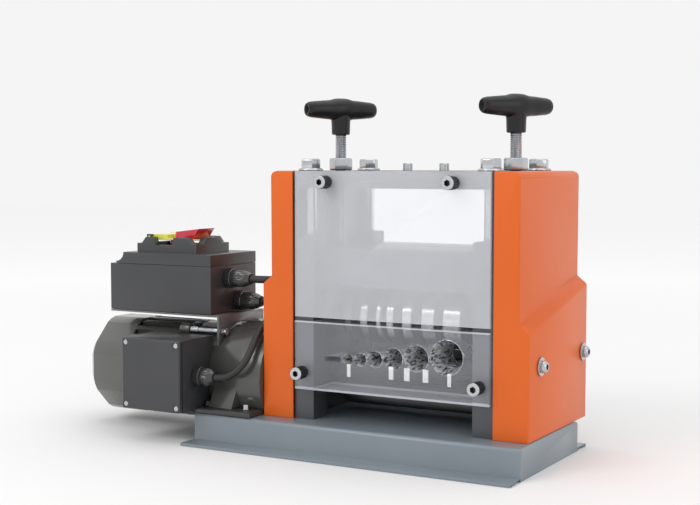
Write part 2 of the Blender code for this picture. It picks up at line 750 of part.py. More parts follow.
def guide_block():
    """Clear block with a flange on the posts and a funnel-mouthed channel for each wire size."""
    wide = GUARD_HALF_WIDTH
    body = POST_INNER - GAP
    seat = FRONT_FACE - GAP
    section = [(-wide, GUIDE_FACE), (wide, GUIDE_FACE), (wide, seat), (body, seat),
               (body, -GUIDE_BACK), (-body, -GUIDE_BACK), (-body, seat), (-wide, seat)]
    guide = extruded("Z", section, GUIDE_BOTTOM, GUIDE_TOP)
    for x, bore, mouth in CHANNELS:
        slope = (mouth - bore) / FUNNEL_DEPTH
        profile = [(GUIDE_FACE - OVERRUN, mouth + slope * OVERRUN), (GUIDE_FACE + FUNNEL_DEPTH, bore),
                   (-GUIDE_BACK + OVERRUN, bore)]
        cut(guide, turned("Y", (x, CHANNEL_FLOOR + bore), profile, MEDIUM))
    cut(guide, block((SLOT_X - SLOT_HALF_WIDTH, GUIDE_FACE - OVERRUN, CHANNEL_FLOOR),
                     (SLOT_X + SLOT_HALF_WIDTH, -GUIDE_BACK + OVERRUN, CHANNEL_FLOOR + SLOT_HEIGHT)))
    for sign in (-1, 1):
        cut(guide, rod("Y", (sign * GUIDE_SCREW_X, GUIDE_SCREW_Z), THUMB_SHANK + GAP,
                       GUIDE_FACE - OVERRUN, seat + OVERRUN))
    piece(guide, "guide_block", CLEAR)


def rear_guard():
    """Dark sheet across the rear posts, under the wire outlet."""
    half = POST_INNER - GAP
    back = SIDE_HALF_DEPTH - REAR_GUARD_INSET
    guard = block((-half, back - REAR_GUARD_SHEET, FLOOR_OF_PIECES), (half, back, REAR_GUARD_TOP))
    piece(guard, "rear_guard", MOTOR_BLACK)


def carriage():
    """Block that slides up and down; its ears hold the cutter shaft."""
    half = POST_INNER - GAP
    ear_depth = SLIDEWAY_HALF - GAP
    ear_outer = SIDE_OUTER - SIDE_WEB - GAP
    made = block((-half, -CARRIAGE_HALF_DEPTH, CARRIAGE_BOTTOM),
                 (half, CARRIAGE_HALF_DEPTH, CARRIAGE_TOP))
    join(made, block((-ear_outer, -ear_depth, EAR_BOTTOM), (ear_outer, ear_depth, CARRIAGE_TOP)))
    cut(made, block((-EAR_INNER, -ear_depth - OVERRUN, EAR_BOTTOM - OVERRUN),
                    (EAR_INNER, ear_depth + OVERRUN, CARRIAGE_BOTTOM)))
    cut(made, rod("X", (0, CUTTER_Z), CUTTER_JOURNAL + GAP, -ear_outer - OVERRUN,
                  ear_outer + OVERRUN, MEDIUM))
    for sign in (-1, 1):
        cut(made, rod("Z", (sign * BOLT_X, 0), SCREW_TIP_RADIUS + GAP,
                      CARRIAGE_TOP - SCREW_POCKET - GAP, CARRIAGE_TOP + OVERRUN))
    piece(made, "carriage", STEEL_GREY)


def cutter_shaft():
    """Idle shaft with polished lands and a thin blade in each gap between them."""
    gaps = [(left[1] + right[0]) / 2 for left, right in zip(CUTTER_LANDS, CUTTER_LANDS[1:])]
    blades = gaps + [LAST_BLADE_X]
    end = SIDE_OUTER - SIDE_WEB - 2 * GAP
    half = CUTTER_HALF_LENGTH
    profile = [(-end, CUTTER_JOURNAL), (-half, CUTTER_JOURNAL), (-half, CUTTER_HUB)]
    for (left, right), blade in zip(CUTTER_LANDS, blades):
        profile += [(left, CUTTER_HUB), (left, CUTTER_LAND), (right, CUTTER_LAND),
                    (right, CUTTER_HUB), (blade - BLADE_ROOT / 2, CUTTER_HUB),
                    (blade, CUTTER_BLADE), (blade + BLADE_THICKNESS / 2, CUTTER_HUB)]
    profile += [(half, CUTTER_HUB), (half, CUTTER_JOURNAL), (end, CUTTER_JOURNAL)]
    made = turned("X", (0, CUTTER_Z), profile, FINE)
    piece(made, "cutter_shaft", BRIGHT_STEEL, (0, 0, CUTTER_Z))


def feed_roller():
    """Driven roller under the cutter shaft, its shaft carried by both side plates."""
    half = ROLLER_HALF_LENGTH
    full = ROLLER_RADIUS
    profile = [(-ROLLER_LEFT_END, GEAR_SEAT_RADIUS), (-GEAR_SEAT_FROM, GEAR_SEAT_RADIUS),
               (-GEAR_SEAT_FROM, ROLLER_JOURNAL), (-half, ROLLER_JOURNAL),
               (-half, full - ROLLER_CHAMFER), (ROLLER_CHAMFER - half, full),
               (half - ROLLER_CHAMFER, full), (half, full - ROLLER_CHAMFER),
               (half, ROLLER_JOURNAL), (ROLLER_END, ROLLER_JOURNAL)]
    piece(turned("X", (0, ROLLER_Z), profile, FINE), "feed_roller", DARK_STEEL, (0, 0, ROLLER_Z))


def roller_gear():
    outline = gear_outline((0, ROLLER_Z), ROLLER_GEAR_TEETH, DRIVE_MODULE,
                           math.pi + math.pi / ROLLER_GEAR_TEETH, 2)
    gear = extruded("X", outline, -GEAR_LEFT, GEAR_WIDTH - GEAR_LEFT)
    cut(gear, rod("X", (0, ROLLER_Z), GEAR_SEAT_RADIUS + GAP, -GEAR_LEFT - OVERRUN,
                  GEAR_WIDTH - GEAR_LEFT + OVERRUN))
    piece(gear, "roller_gear", STEEL_GREY, (0, 0, ROLLER_Z))


def adjusting_screw(side):
    """Threaded rod with a turned tip in the carriage's pocket."""
    centre = (SIGNS[side] * BOLT_X, 0)
    shoulder = CARRIAGE_TOP + GAP
    profile = [(CARRIAGE_TOP - SCREW_POCKET, SCREW_TIP_RADIUS), (shoulder, SCREW_TIP_RADIUS),
               (shoulder, BOLT_RADIUS), (FRAME_HEIGHT + SCREW_RISE, BOLT_RADIUS)]
    piece(turned("Z", centre, profile, COARSE), side + "_adjusting_screw", BRIGHT_STEEL,
          (*centre, FRAME_HEIGHT))


def t_handle(side):
    """Moulded T-handle; its bar points toward the front left."""
    centre = (SIGNS[side] * BOLT_X, 0)
    axis = HANDLE_AXIS_Z
    stem = turned("Z", centre, [(HANDLE_STEM_BOTTOM, HANDLE_STEM_FOOT_RADIUS),
                                (axis, HANDLE_STEM_RADIUS)], MEDIUM)
    end = HANDLE_HALF_LENGTH
    tip = end - HANDLE_END_ROUND
    middle = HANDLE_MIDDLE_RADIUS
    right = [(middle / 2, middle), (middle * 3 / 2, HANDLE_WAIST_RADIUS), (tip, HANDLE_END_RADIUS),
             (end, HANDLE_END_RADIUS - HANDLE_END_ROUND)]
    left = [(-along, radius) for along, radius in reversed(right)]
    bar = turned("X", (0, axis), left + right, MEDIUM)
    bar.data.transform(Matrix.Rotation(HANDLE_TURN, 4, "Z"))
    bar.data.transform(Matrix.Translation((*centre, 0)))
    join(stem, bar)
    cut(stem, rod("Z", centre, BOLT_RADIUS + GAP, HANDLE_STEM_BOTTOM - OVERRUN,
                  FRAME_HEIGHT + SCREW_RISE + GAP))
    piece(stem, side + "_t_handle", HANDLE_BLACK, (*centre, HANDLE_AXIS_Z))


def motor_body():
    """Finned tube, closed at the fan end, with a plain ring and two lugs at the gear end."""
    centre = (MOTOR_Y, ROLLER_Z)
    valley = MOTOR_RADIUS - FIN_DEPTH
    outline = []
    for k in range(FIN_COUNT):
        start = 2 * math.pi * (k - FIN_SHARE / 2) / FIN_COUNT
        end = 2 * math.pi * (k + FIN_SHARE / 2) / FIN_COUNT
        for radius, angle in ((valley, start), (MOTOR_RADIUS, start), (MOTOR_RADIUS, end), (valley, end)):
            outline.append((centre[0] + radius * math.cos(angle), centre[1] + radius * math.sin(angle)))
    ring_left = -MOTOR_RIGHT - LUG_LENGTH
    body = extruded("X", outline, -MOTOR_LEFT, -MOTOR_RIGHT - GAP)
    join(body, rod("X", centre, MOTOR_RADIUS, ring_left, -MOTOR_RIGHT - GAP, FINE))
    for sign in (-1, 1):
        join(body, rod("X", (MOTOR_Y + sign * STANDOFF_REACH, STANDOFF_Z), LUG_RADIUS, ring_left,
                       -MOTOR_RIGHT - GAP))
    cut(body, rod("X", centre, MOTOR_BORE, MOTOR_WALL - MOTOR_LEFT, OVERRUN - MOTOR_RIGHT, FINE))
    cut(body, rod("X", centre, ROTOR_SHAFT + GAP, -MOTOR_LEFT - OVERRUN,
                  MOTOR_WALL + OVERRUN - MOTOR_LEFT))
    piece(body, "motor_body", MOTOR_BLACK)


def fan_cowl():
    """Eight-sided sheet cup over the fan, chamfered at its end, with a round air inlet."""
    full = COWL_ACROSS
    sheet = COWL_SHEET
    bevel = COWL_CHAMFER
    rim = -MOTOR_LEFT - GAP
    profile = [(rim, full), (bevel - COWL_LEFT, full), (-COWL_LEFT, full - bevel),
               (-COWL_LEFT, COWL_INLET), (sheet - COWL_LEFT, COWL_INLET),
               (sheet - COWL_LEFT, full - bevel - sheet / 2), (bevel + sheet / 2 - COWL_LEFT, full - sheet),
               (rim, full - sheet)]
    bm = bmesh.new()
    rings = []
    for along, radius in profile:
        ring = []
        for k in range(8):
            for turn, share in ((-COWL_FLAT_TURN, 1 / math.cos(COWL_FLAT_TURN)),
                                (COWL_FLAT_TURN, 1 / math.cos(COWL_FLAT_TURN)),
                                (math.pi / 8, COWL_CORNER_SHARE)):
                reach = radius if radius == COWL_INLET else radius * share
                angle = k * math.pi / 4 + turn
                ring.append(bm.verts.new(point_on("X", along, MOTOR_Y + reach * math.cos(angle),
                                                  ROLLER_Z + reach * math.sin(angle))))
        rings.append(ring)
    for near, far in zip(rings, rings[1:] + rings[:1]):
        for i in range(len(near)):
            j = (i + 1) % len(near)
            bm.faces.new((near[i], near[j], far[j], far[i]))
    piece(as_object(bm), "fan_cowl", MOTOR_BLACK)


def motor_stator():
    """Laminated ring in the motor's bore."""
    inner = ROTOR_RADIUS + AIR_GAP
    outer = MOTOR_BORE - GAP
    left = -ROTOR_LEFT - STATOR_MARGIN
    right = STATOR_MARGIN - ROTOR_RIGHT
    profile = [(left, inner), (left, outer), (right, outer), (right, inner)]
    piece(turned("X", (MOTOR_Y, ROLLER_Z), profile, FINE, True), "motor_stator", COPPER)


def motor_rotor():
    """Rotor core on its shaft, whose right end is the first pinion."""
    centre = (MOTOR_Y, ROLLER_Z)
    pinion_right = STAGE_WIDTH - FIRST_STAGE_LEFT
    profile = [(FAN_FROM_COWL - COWL_LEFT - GAP, ROTOR_SHAFT), (-ROTOR_LEFT, ROTOR_SHAFT),
               (-ROTOR_LEFT, ROTOR_RADIUS), (-ROTOR_RIGHT, ROTOR_RADIUS), (-ROTOR_RIGHT, ROTOR_SHAFT),
               (pinion_right + OVERRUN, ROTOR_SHAFT)]
    rotor = turned("X", centre, profile, MEDIUM)
    teeth = gear_outline(centre, STAGE_PINION_TEETH, STAGE_MODULE, math.pi / 2, 2)
    join(rotor, extruded("X", teeth, -FIRST_STAGE_LEFT, pinion_right))
    piece(rotor, "motor_rotor", DARK_STEEL, (0, *centre))


def motor_fan():
    """Radial fan with straight blades on a disc."""
    centre = (MOTOR_Y, ROLLER_Z)
    left = FAN_FROM_COWL - COWL_LEFT
    right = left + FAN_WIDTH
    fan = rod("X", centre, FAN_HUB, left, right, MEDIUM)
    join(fan, rod("X", centre, FAN_RADIUS, right - FAN_DISC, right, FINE))
    for k in range(FAN_BLADES):
        low = (left, -FAN_BLADE / 2, FAN_HUB - FAN_BLADE)
        blade = block(low, (right - FAN_DISC / 2, FAN_BLADE / 2, FAN_RADIUS - FAN_BLADE))
        blade.data.transform(Matrix.Rotation(2 * math.pi * k / FAN_BLADES, 4, "X"))
        blade.data.transform(Matrix.Translation((0, *centre)))
        join(fan, blade)
    cut(fan, rod("X", centre, ROTOR_SHAFT + GAP, left - OVERRUN, right + OVERRUN))
    piece(fan, "motor_fan", CORD_BLACK, (0, *centre))


def gear_housing():
    """Flared bell with a cast foot; it holds the gearhead and is flat where it stands."""
    centre = (MOTOR_Y, ROLLER_Z)
    seat = FLOOR_OF_PIECES + MOUNT_PLATE + GAP
    left = -MOTOR_RIGHT
    end_wall = -HOUSING_RIGHT - HOUSING_WALL
    profile = [(left, MOTOR_RADIUS), (-FLARE_LEFT, MOTOR_RADIUS), (-FLARE_RIGHT, FLARE_RADIUS),
               (-HOUSING_RIGHT, FLARE_RADIUS)]
    housing = turned("X", centre, profile, FINE)
    foot = [(MOTOR_Y - FOOT_HALF_BOTTOM, seat), (MOTOR_Y + FOOT_HALF_BOTTOM, seat),
            (MOTOR_Y + FOOT_HALF_TOP, FOOT_TOP), (MOTOR_Y - FOOT_HALF_TOP, FOOT_TOP)]
    join(housing, extruded("X", foot, -FOOT_LEFT, -FOOT_RIGHT))
    cut(housing, block((-BASE_LEFT - OVERRUN, MOTOR_Y - FOOT_HALF_BOTTOM - OVERRUN, -OVERRUN),
                       (OVERRUN - HOUSING_RIGHT, MOTOR_Y + FOOT_HALF_BOTTOM + OVERRUN, seat)))
    upper = ROLLER_Z + STAGE_DISTANCE
    cavity = arc((MOTOR_Y, upper), CAVITY_RADIUS, 0, math.pi, 12) + \
        arc(centre, CAVITY_RADIUS, math.pi, 2 * math.pi, 12)
    cut(housing, extruded("X", cavity, left - OVERRUN, end_wall))
    cut(housing, rod("X", centre, OUTPUT_RADIUS + GAP, end_wall - OVERRUN, OVERRUN - HOUSING_RIGHT,
                     MEDIUM))
    cut(housing, rod("X", (MOTOR_Y, upper), LAYSHAFT_RADIUS + GAP, end_wall - OVERRUN,
                     end_wall + LAYSHAFT_BITE + GAP))
    piece(housing, "gear_housing", MOTOR_BLACK)


def gearhead_layshaft():
    """Shaft with the first stage's wheel and the second stage's pinion."""
    centre = (MOTOR_Y, ROLLER_Z + STAGE_DISTANCE)
    right = -HOUSING_RIGHT - HOUSING_WALL + LAYSHAFT_BITE
    shaft = rod("X", centre, LAYSHAFT_RADIUS, -LAYSHAFT_LEFT, right)
    wheel = gear_outline(centre, STAGE_WHEEL_TEETH, STAGE_MODULE,
                         -math.pi / 2 + math.pi / STAGE_WHEEL_TEETH, 2)
    pinion = gear_outline(centre, STAGE_PINION_TEETH, STAGE_MODULE, -math.pi / 2, 2)
    join(shaft, extruded("X", wheel, -FIRST_STAGE_LEFT, STAGE_WIDTH - FIRST_STAGE_LEFT))
    join(shaft, extruded("X", pinion, -SECOND_STAGE_LEFT, STAGE_WIDTH - SECOND_STAGE_LEFT))
    piece(shaft, "gearhead_layshaft", STEEL_GREY, (0, *centre))


def output_shaft():
    """Gearhead output with its wheel and the pinion that drives the roller gear."""
    centre = (MOTOR_Y, ROLLER_Z)
    shaft = rod("X", centre, OUTPUT_RADIUS, -OUTPUT_LEFT, -OUTPUT_RIGHT, MEDIUM)
    wheel = gear_outline(centre, STAGE_WHEEL_TEETH, STAGE_MODULE,
                         math.pi / 2 + math.pi / STAGE_WHEEL_TEETH, 2)
    pinion = gear_outline(centre, PINION_TEETH, DRIVE_MODULE, 0, 2)
    join(shaft, extruded("X", wheel, -SECOND_STAGE_LEFT, STAGE_WIDTH - SECOND_STAGE_LEFT))
    join(shaft, extruded("X", pinion, -GEAR_LEFT, GEAR_WIDTH - GEAR_LEFT))
    piece(shaft, "output_shaft", STEEL_GREY, (0, *centre))


def terminal_box():
    """Box that hugs the motor's front, open toward its lid."""
    seat = -TERMINAL_FRONT + TERMINAL_LID + GAP
    wall = TERMINAL_WALL
    box = block((-TERMINAL_LEFT, seat, TERMINAL_BOTTOM), (-TERMINAL_RIGHT, -TERMINAL_BACK, TERMINAL_TOP))
    cut(box, rod("X", (MOTOR_Y, ROLLER_Z), around(MOTOR_RADIUS) + GAP, -TERMINAL_LEFT - OVERRUN,
                 OVERRUN - TERMINAL_RIGHT, FINE))
    floor = MOTOR_Y - MOTOR_RADIUS - wall
    cut(box, block((wall - TERMINAL_LEFT, seat - OVERRUN, TERMINAL_BOTTOM + wall),
                   (-wall - TERMINAL_RIGHT, floor, TERMINAL_TOP - wall)))
    cut(box, rod("X", (TERMINAL_GLAND_Y, TERMINAL_GLAND_Z), GLAND_SPIGOT_RADIUS + GAP,
                 -wall - TERMINAL_RIGHT - OVERRUN, OVERRUN - TERMINAL_RIGHT))
    piece(box, "terminal_box", BOX_BLACK)
    lid = block((-TERMINAL_LEFT, -TERMINAL_FRONT, TERMINAL_BOTTOM),
                (-TERMINAL_RIGHT, TERMINAL_LID - TERMINAL_FRONT, TERMINAL_TOP), TERMINAL_EDGE / 2)
    piece(lid, "terminal_lid", BOX_BLACK)


def cable_gland(name, face, wall, y, z, length):
    """Gland with a spigot through its box's wall, a nut and a domed end that grips the cord."""
    seat = face + GAP
    nut = seat + GLAND_NUT_LENGTH
    end = face + length
    profile = [(face - wall, GLAND_SPIGOT_RADIUS), (seat, GLAND_SPIGOT_RADIUS),
               (seat, GLAND_NUT_RADIUS), (nut, GLAND_NUT_RADIUS), (nut, GLAND_DOME_RADIUS),
               ((nut + end) / 2, GLAND_DOME_RADIUS), (end, GLAND_MOUTH_RADIUS)]
    piece(turned("X", (y, z), profile, COARSE), name, BOX_BLACK)


def switch_bracket():
    """Sheet under the switch box with a leg bent down over the gear housing."""
    under = BRACKET_TOP - BRACKET_SHEET
    inside = -BRACKET_RIGHT - BRACKET_SHEET
    section = [(-BRACKET_LEFT, under), (inside, under), (inside, BRACKET_LEG_BOTTOM),
               (-BRACKET_RIGHT, BRACKET_LEG_BOTTOM), (-BRACKET_RIGHT, BRACKET_TOP),
               (-BRACKET_LEFT, BRACKET_TOP)]
    bracket = extruded("Y", section, SWITCH_FRONT, SWITCH_BACK)
    cut(bracket, rod("X", (MOTOR_Y, ROLLER_Z), around(MOTOR_RADIUS) + GAP, inside - OVERRUN,
                     OVERRUN - BRACKET_RIGHT, FINE))
    for sign in (-1, 1):
        cut(bracket, rod("X", (MOTOR_Y + sign * STANDOFF_REACH, STANDOFF_Z), STANDOFF_PIN + GAP,
                         inside - OVERRUN, OVERRUN - BRACKET_RIGHT))
    piece(bracket, "switch_bracket", MOTOR_BLACK)


def bracket_standoff(name, y):
    """Spacer from the motor's lug to the bracket's leg, with its bolt head."""
    leg = -BRACKET_RIGHT - BRACKET_SHEET - GAP
    seat = GAP - BRACKET_RIGHT
    profile = [(-MOTOR_RIGHT, STANDOFF_RADIUS), (leg, STANDOFF_RADIUS), (leg, STANDOFF_PIN),
               (seat, STANDOFF_PIN), (seat, STANDOFF_HEAD_RADIUS),
               (seat + STANDOFF_HEAD, STANDOFF_HEAD_RADIUS)]
    piece(turned("X", (y, STANDOFF_Z), profile, COARSE), name, BRIGHT_STEEL)


def switch_box():
    """Box on the bracket, open under its lid."""
    floor = BRACKET_TOP + GAP
    wall = SWITCH_WALL
    box = block((-SWITCH_LEFT, SWITCH_FRONT, floor), (-SWITCH_RIGHT, SWITCH_BACK, SWITCH_BODY_TOP))
    cut(box, block((wall - LID_LEFT - LID_HOLLOW, SWITCH_FRONT + wall, floor + wall),
                   (-wall - SWITCH_RIGHT, SWITCH_BACK - wall, SWITCH_BODY_TOP + OVERRUN)))
    for y, z in ((MAINS_GLAND_Y, MAINS_GLAND_Z), (LEAD_GLAND_Y, LEAD_GLAND_Z)):
        cut(box, rod("X", (y, z), GLAND_SPIGOT_RADIUS + GAP, -wall - SWITCH_RIGHT - OVERRUN,
                     OVERRUN - SWITCH_RIGHT))
    piece(box, "switch_box", BOX_BLACK)


def raised_wall(start, end, corner):
    """Outline of a frame wall's raised middle, which ramps down to its low corners."""
    foot = FRAME_LOW_TOP - OVERRUN
    return [(start + corner, foot), (end - corner, foot), (end - corner, FRAME_LOW_TOP),
            (end - corner - FRAME_RAMP, FRAME_TOP), (start + corner + FRAME_RAMP, FRAME_TOP),
            (start + corner, FRAME_LOW_TOP)]


def switch_lid():
    """Lid with a hollow left end, the notched frame round the switch and the flap's hinge ears."""
    seat = SWITCH_BODY_TOP + GAP
    hollow = arc((-LID_LEFT - LID_HOLLOW, LID_TOP), LID_HOLLOW, 0, -math.pi / 2, 6)
    section = [(-LID_LEFT - LID_HOLLOW, seat), (-SWITCH_RIGHT, seat), (-SWITCH_RIGHT, LID_TOP)] + hollow
    lid = extruded("Y", section, SWITCH_FRONT, SWITCH_BACK)
    wall = FRAME_WALL
    join(lid, block((-FRAME_LEFT, FRAME_FRONT, LID_TOP - OVERRUN), (-FRAME_RIGHT, FRAME_BACK, FRAME_LOW_TOP)))
    raised = raised_wall(-FRAME_LEFT, -FRAME_RIGHT, FRAME_CORNER)
    for low in (FRAME_FRONT, FRAME_BACK - wall):
        join(lid, extruded("Y", raised, low, low + wall))
    join(lid, extruded("X", raised_wall(FRAME_FRONT, FRAME_BACK, FRAME_SIDE_CORNER), -FRAME_RIGHT - wall,
                       -FRAME_RIGHT))
    cut(lid, block((wall - FRAME_LEFT, FRAME_FRONT + wall, LID_TOP),
                   (-wall - FRAME_RIGHT, FRAME_BACK - wall, FRAME_TOP + OVERRUN)))
    notch = [(-NOTCH_LEFT, NOTCH_FLOOR), (-NOTCH_RIGHT, NOTCH_FLOOR),
             (NOTCH_SLANT - NOTCH_RIGHT, FRAME_TOP + GAP), (-NOTCH_SLANT - NOTCH_LEFT, FRAME_TOP + GAP)]
    for low in (FRAME_FRONT, FRAME_BACK - wall):
        cut(lid, extruded("Y", notch, low - OVERRUN, low + wall + OVERRUN))
    middle = (FRAME_FRONT + FRAME_BACK) / 2
    for x in (START_X, STOP_X):
        cut(lid, rod("Z", (x, middle), BUTTON_RADIUS + GAP, seat - OVERRUN, LID_TOP + OVERRUN, MEDIUM))
    hinge = (-FLAP_LEFT - FLAP_HINGE_RADIUS, FLAP_Z)
    for side in (-1, 1):
        near = middle + side * (FLAP_HALF_WIDTH + GAP)
        far = near + side * FRAME_WALL / 2
        ear = block((hinge[0] - FLAP_HINGE_RADIUS, min(near, far), LID_TOP - OVERRUN),
                    (hinge[0] + FLAP_HINGE_RADIUS, max(near, far), FLAP_Z + FLAP_HINGE_RADIUS))
        join(lid, ear)
        cut(lid, rod("Y", hinge, FLAP_HINGE_RADIUS / 2 + GAP, min(near, far) - OVERRUN,
                     max(near, far) + OVERRUN))
    piece(lid, "switch_lid", BOX_BLACK)


def switch_flap():
    """Yellow flap on its hinge barrel; its stub pins turn in the frame's ears."""
    middle = (FRAME_FRONT + FRAME_BACK) / 2
    hinge = (-FLAP_LEFT - FLAP_HINGE_RADIUS, FLAP_Z)
    half = FLAP_HALF_WIDTH
    pin = half + FRAME_WALL / 2
    barrel = FLAP_HINGE_RADIUS
    profile = [(middle - pin, barrel / 2), (middle - half, barrel / 2), (middle - half, barrel),
               (middle + half, barrel), (middle + half, barrel / 2), (middle + pin, barrel / 2)]
    flap = turned("Y", hinge, profile, COARSE)
    under = FLAP_Z - FLAP_THICKNESS / 2
    join(flap, block((hinge[0], middle - half, under),
                     (-PADDLE_LEFT - PADDLE_FLARE, middle + half, under + FLAP_THICKNESS)))
    join(flap, block((hinge[0], middle - half, under), (-FLAP_RIGHT, middle + half, under + FLAP_TONGUE)))
    piece(flap, "switch_flap", YELLOW, (hinge[0], middle, FLAP_Z))


def stop_paddle():
    """Large red paddle on the flap, wider at its top and higher at its right."""
    middle = (FRAME_FRONT + FRAME_BACK) / 2
    under = FLAP_Z - FLAP_THICKNESS / 2 + FLAP_TONGUE + GAP
    top = under + PADDLE_HEIGHT - PADDLE_TILT
    section = [(-PADDLE_LEFT, under), (-PADDLE_RIGHT - PADDLE_FLARE, under),
               (-PADDLE_RIGHT, top + PADDLE_TILT), (-PADDLE_LEFT, top)]
    paddle = extruded("Y", section, middle - PADDLE_HALF_WIDTH, middle + PADDLE_HALF_WIDTH)
    hinge = -FLAP_LEFT - FLAP_HINGE_RADIUS
    piece(paddle, "stop_paddle", RED, (hinge, middle, FLAP_Z))


def push_button(name, x, top, finish):
    middle = (FRAME_FRONT + FRAME_BACK) / 2
    button = rod("Z", (x, middle), BUTTON_RADIUS, LID_TOP - BUTTON_STEM, top, MEDIUM)
    piece(button, name, finish, (x, middle, LID_TOP))


# Route of the mains cord from its gland, behind the machine, down to the floor and to the coil
MAINS_ROUTE = (
    (-0.1857, -0.0380, 0.1650), (-0.1795, -0.0380, 0.1650), (-0.1682, -0.0360, 0.1650),
    (-0.1583, -0.0303, 0.1649), (-0.1509, -0.0215, 0.1644), (-0.1470, -0.0107, 0.1634),
    (-0.1467, -0.0010, 0.1618), (-0.1478, 0.0100, 0.1588), (-0.1507, 0.0240, 0.1531),
    (-0.1538, 0.0390, 0.1437), (-0.1566, 0.0540, 0.1303), (-0.1582, 0.0685, 0.1120),
    (-0.1580, 0.0820, 0.0900), (-0.1562, 0.0935, 0.0670), (-0.1528, 0.1035, 0.0450),
    (-0.1470, 0.1125, 0.0265), (-0.1380, 0.1205, 0.0135), (-0.1260, 0.1275, 0.0070),
    (-0.1120, 0.1325, 0.0046), (-0.0980, 0.1347, 0.0043), (-0.0783, 0.1350, 0.0043),
)

# Route of the motor lead from the terminal box over the housing to the switch box
LEAD_ROUTE = (
    (-0.1897, -0.1000, 0.0680), (-0.1870, -0.1000, 0.0680), (-0.1774, -0.0995, 0.0694),
    (-0.1688, -0.0980, 0.0736), (-0.1619, -0.0952, 0.0798), (-0.1575, -0.0911, 0.0875),
    (-0.1560, -0.0859, 0.0955), (-0.1555, -0.0772, 0.1059), (-0.1555, -0.0671, 0.1152),
    (-0.1555, -0.0561, 0.1232), (-0.1556, -0.0443, 0.1300), (-0.1570, -0.0364, 0.1336),
    (-0.1613, -0.0291, 0.1364), (-0.1675, -0.0232, 0.1382), (-0.1753, -0.0193, 0.1392),
    (-0.1840, -0.0180, 0.1395), (-0.1857, -0.0180, 0.1395),
)


def smooth_route(route, spacing):
    """Points at an even spacing on a smooth curve through the chosen ones, its two ends straight."""
    points = [Vector(point) for point in route]
    dense = []
    for i in range(1, len(points) - 2):
        before, start, end, after = points[i - 1:i + 3]
        for k in range(24):
            t = k / 24
            dense.append(0.5 * (2 * start + (end - before) * t
                                + (2 * before - 5 * start + 4 * end - after) * t ** 2
                                + (3 * start - before - 3 * end + after) * t ** 3))
    dense.append(points[-2])
    length = sum((b - a).length for a, b in zip(dense, dense[1:]))
    count = max(2, round(length / spacing))
    picked = [dense[0]]
    travelled = 0
    for a, b in zip(dense, dense[1:]):
        travelled += (b - a).length
        if travelled >= length * len(picked) / count and len(picked) < count:
            picked.append(b)
    picked.append(dense[-1])
    return [points[0]] + picked + [points[-1]]


def tube(name, points, radius, resolution):
    """Curve object along the points, with its ends capped."""
    curve = bpy.data.curves.new(name, "CURVE")
    curve.dimensions = "3D"
    curve.bevel_depth = radius
    curve.bevel_resolution = resolution
    curve.use_fill_caps = True
    spline = curve.splines.new("POLY")
    spline.points.add(len(points) - 1)
    for target, point in zip(spline.points, points):
        target.co = (*point, 1)
    made = bpy.data.objects.new(name, curve)
    bpy.context.scene.collection.objects.link(made)
    piece(made, name, CORD_BLACK)


def coil_points():
    """Turns that spiral in on the floor, climb while they turn back, and spiral out on top."""
    half = COIL_TURNS / 2
    count = COIL_TURNS * COIL_SIDES
    low = COIL_FLOOR
    points = []
    for k in range(count + 1):
        turn = k / COIL_SIDES - half
        away = abs(turn)
        if away < CLIMB_SHARE:
            away = turn ** 2 / (2 * CLIMB_SHARE) + CLIMB_SHARE / 2
        radius = COIL_RADIUS + COIL_PITCH * (away - half / 2)
        rise = min(max((turn / CLIMB_SHARE + 1) / 2, 0), 1)
        height = low + COIL_LAYER * rise ** 2 * (3 - 2 * rise)
        angle = 2 * math.pi * (turn + half) - math.pi / 2
        points.append(Vector((COIL_X + radius * math.cos(angle), COIL_Y + radius * math.sin(angle), height)))
    start = points[0] - Vector((2 * CORD_RADIUS, 0, 0))
    end = points[-1] + Vector((COIL_TAIL, 0, 0))
    return [start] + points + [end]


def least_self_gap(points, radius):
    """Least distance between surfaces of stretches of a tube that aren't neighbours."""
    fine = []
    for a, b in zip(points, points[1:]):
        fine += [a.lerp(b, k / 4) for k in range(4)]
    skip = COIL_SIDES * 2
    return min((fine[i] - fine[j]).length for i in range(len(fine))
               for j in range(i + skip, len(fine))) - 2 * radius


def plug():
    """Moulded plug with a neck for the cord and two round pins."""
    points = coil_points()
    end = points[-1]
    neck = end.x + GAP
    body = neck + PLUG_NECK_LENGTH
    pins = body + PLUG_LENGTH
    centre = (end.y, PLUG_HEIGHT / 2)
    made = block((body, end.y - PLUG_WIDTH / 2, 0), (pins, end.y + PLUG_WIDTH / 2, PLUG_HEIGHT), PLUG_EDGE)
    join(made, turned("X", (end.y, end.z), [(neck, CORD_RADIUS + 2 * GAP),
                                            (body + PLUG_EDGE, PLUG_NECK_RADIUS)], COARSE))
    for side in (-1, 1):
        join(made, rod("X", (centre[0] + side * PIN_SPREAD, centre[1]), PIN_RADIUS, pins - PLUG_EDGE,
                       pins + PIN_LENGTH))
    piece(made, "plug", CORD_BLACK)


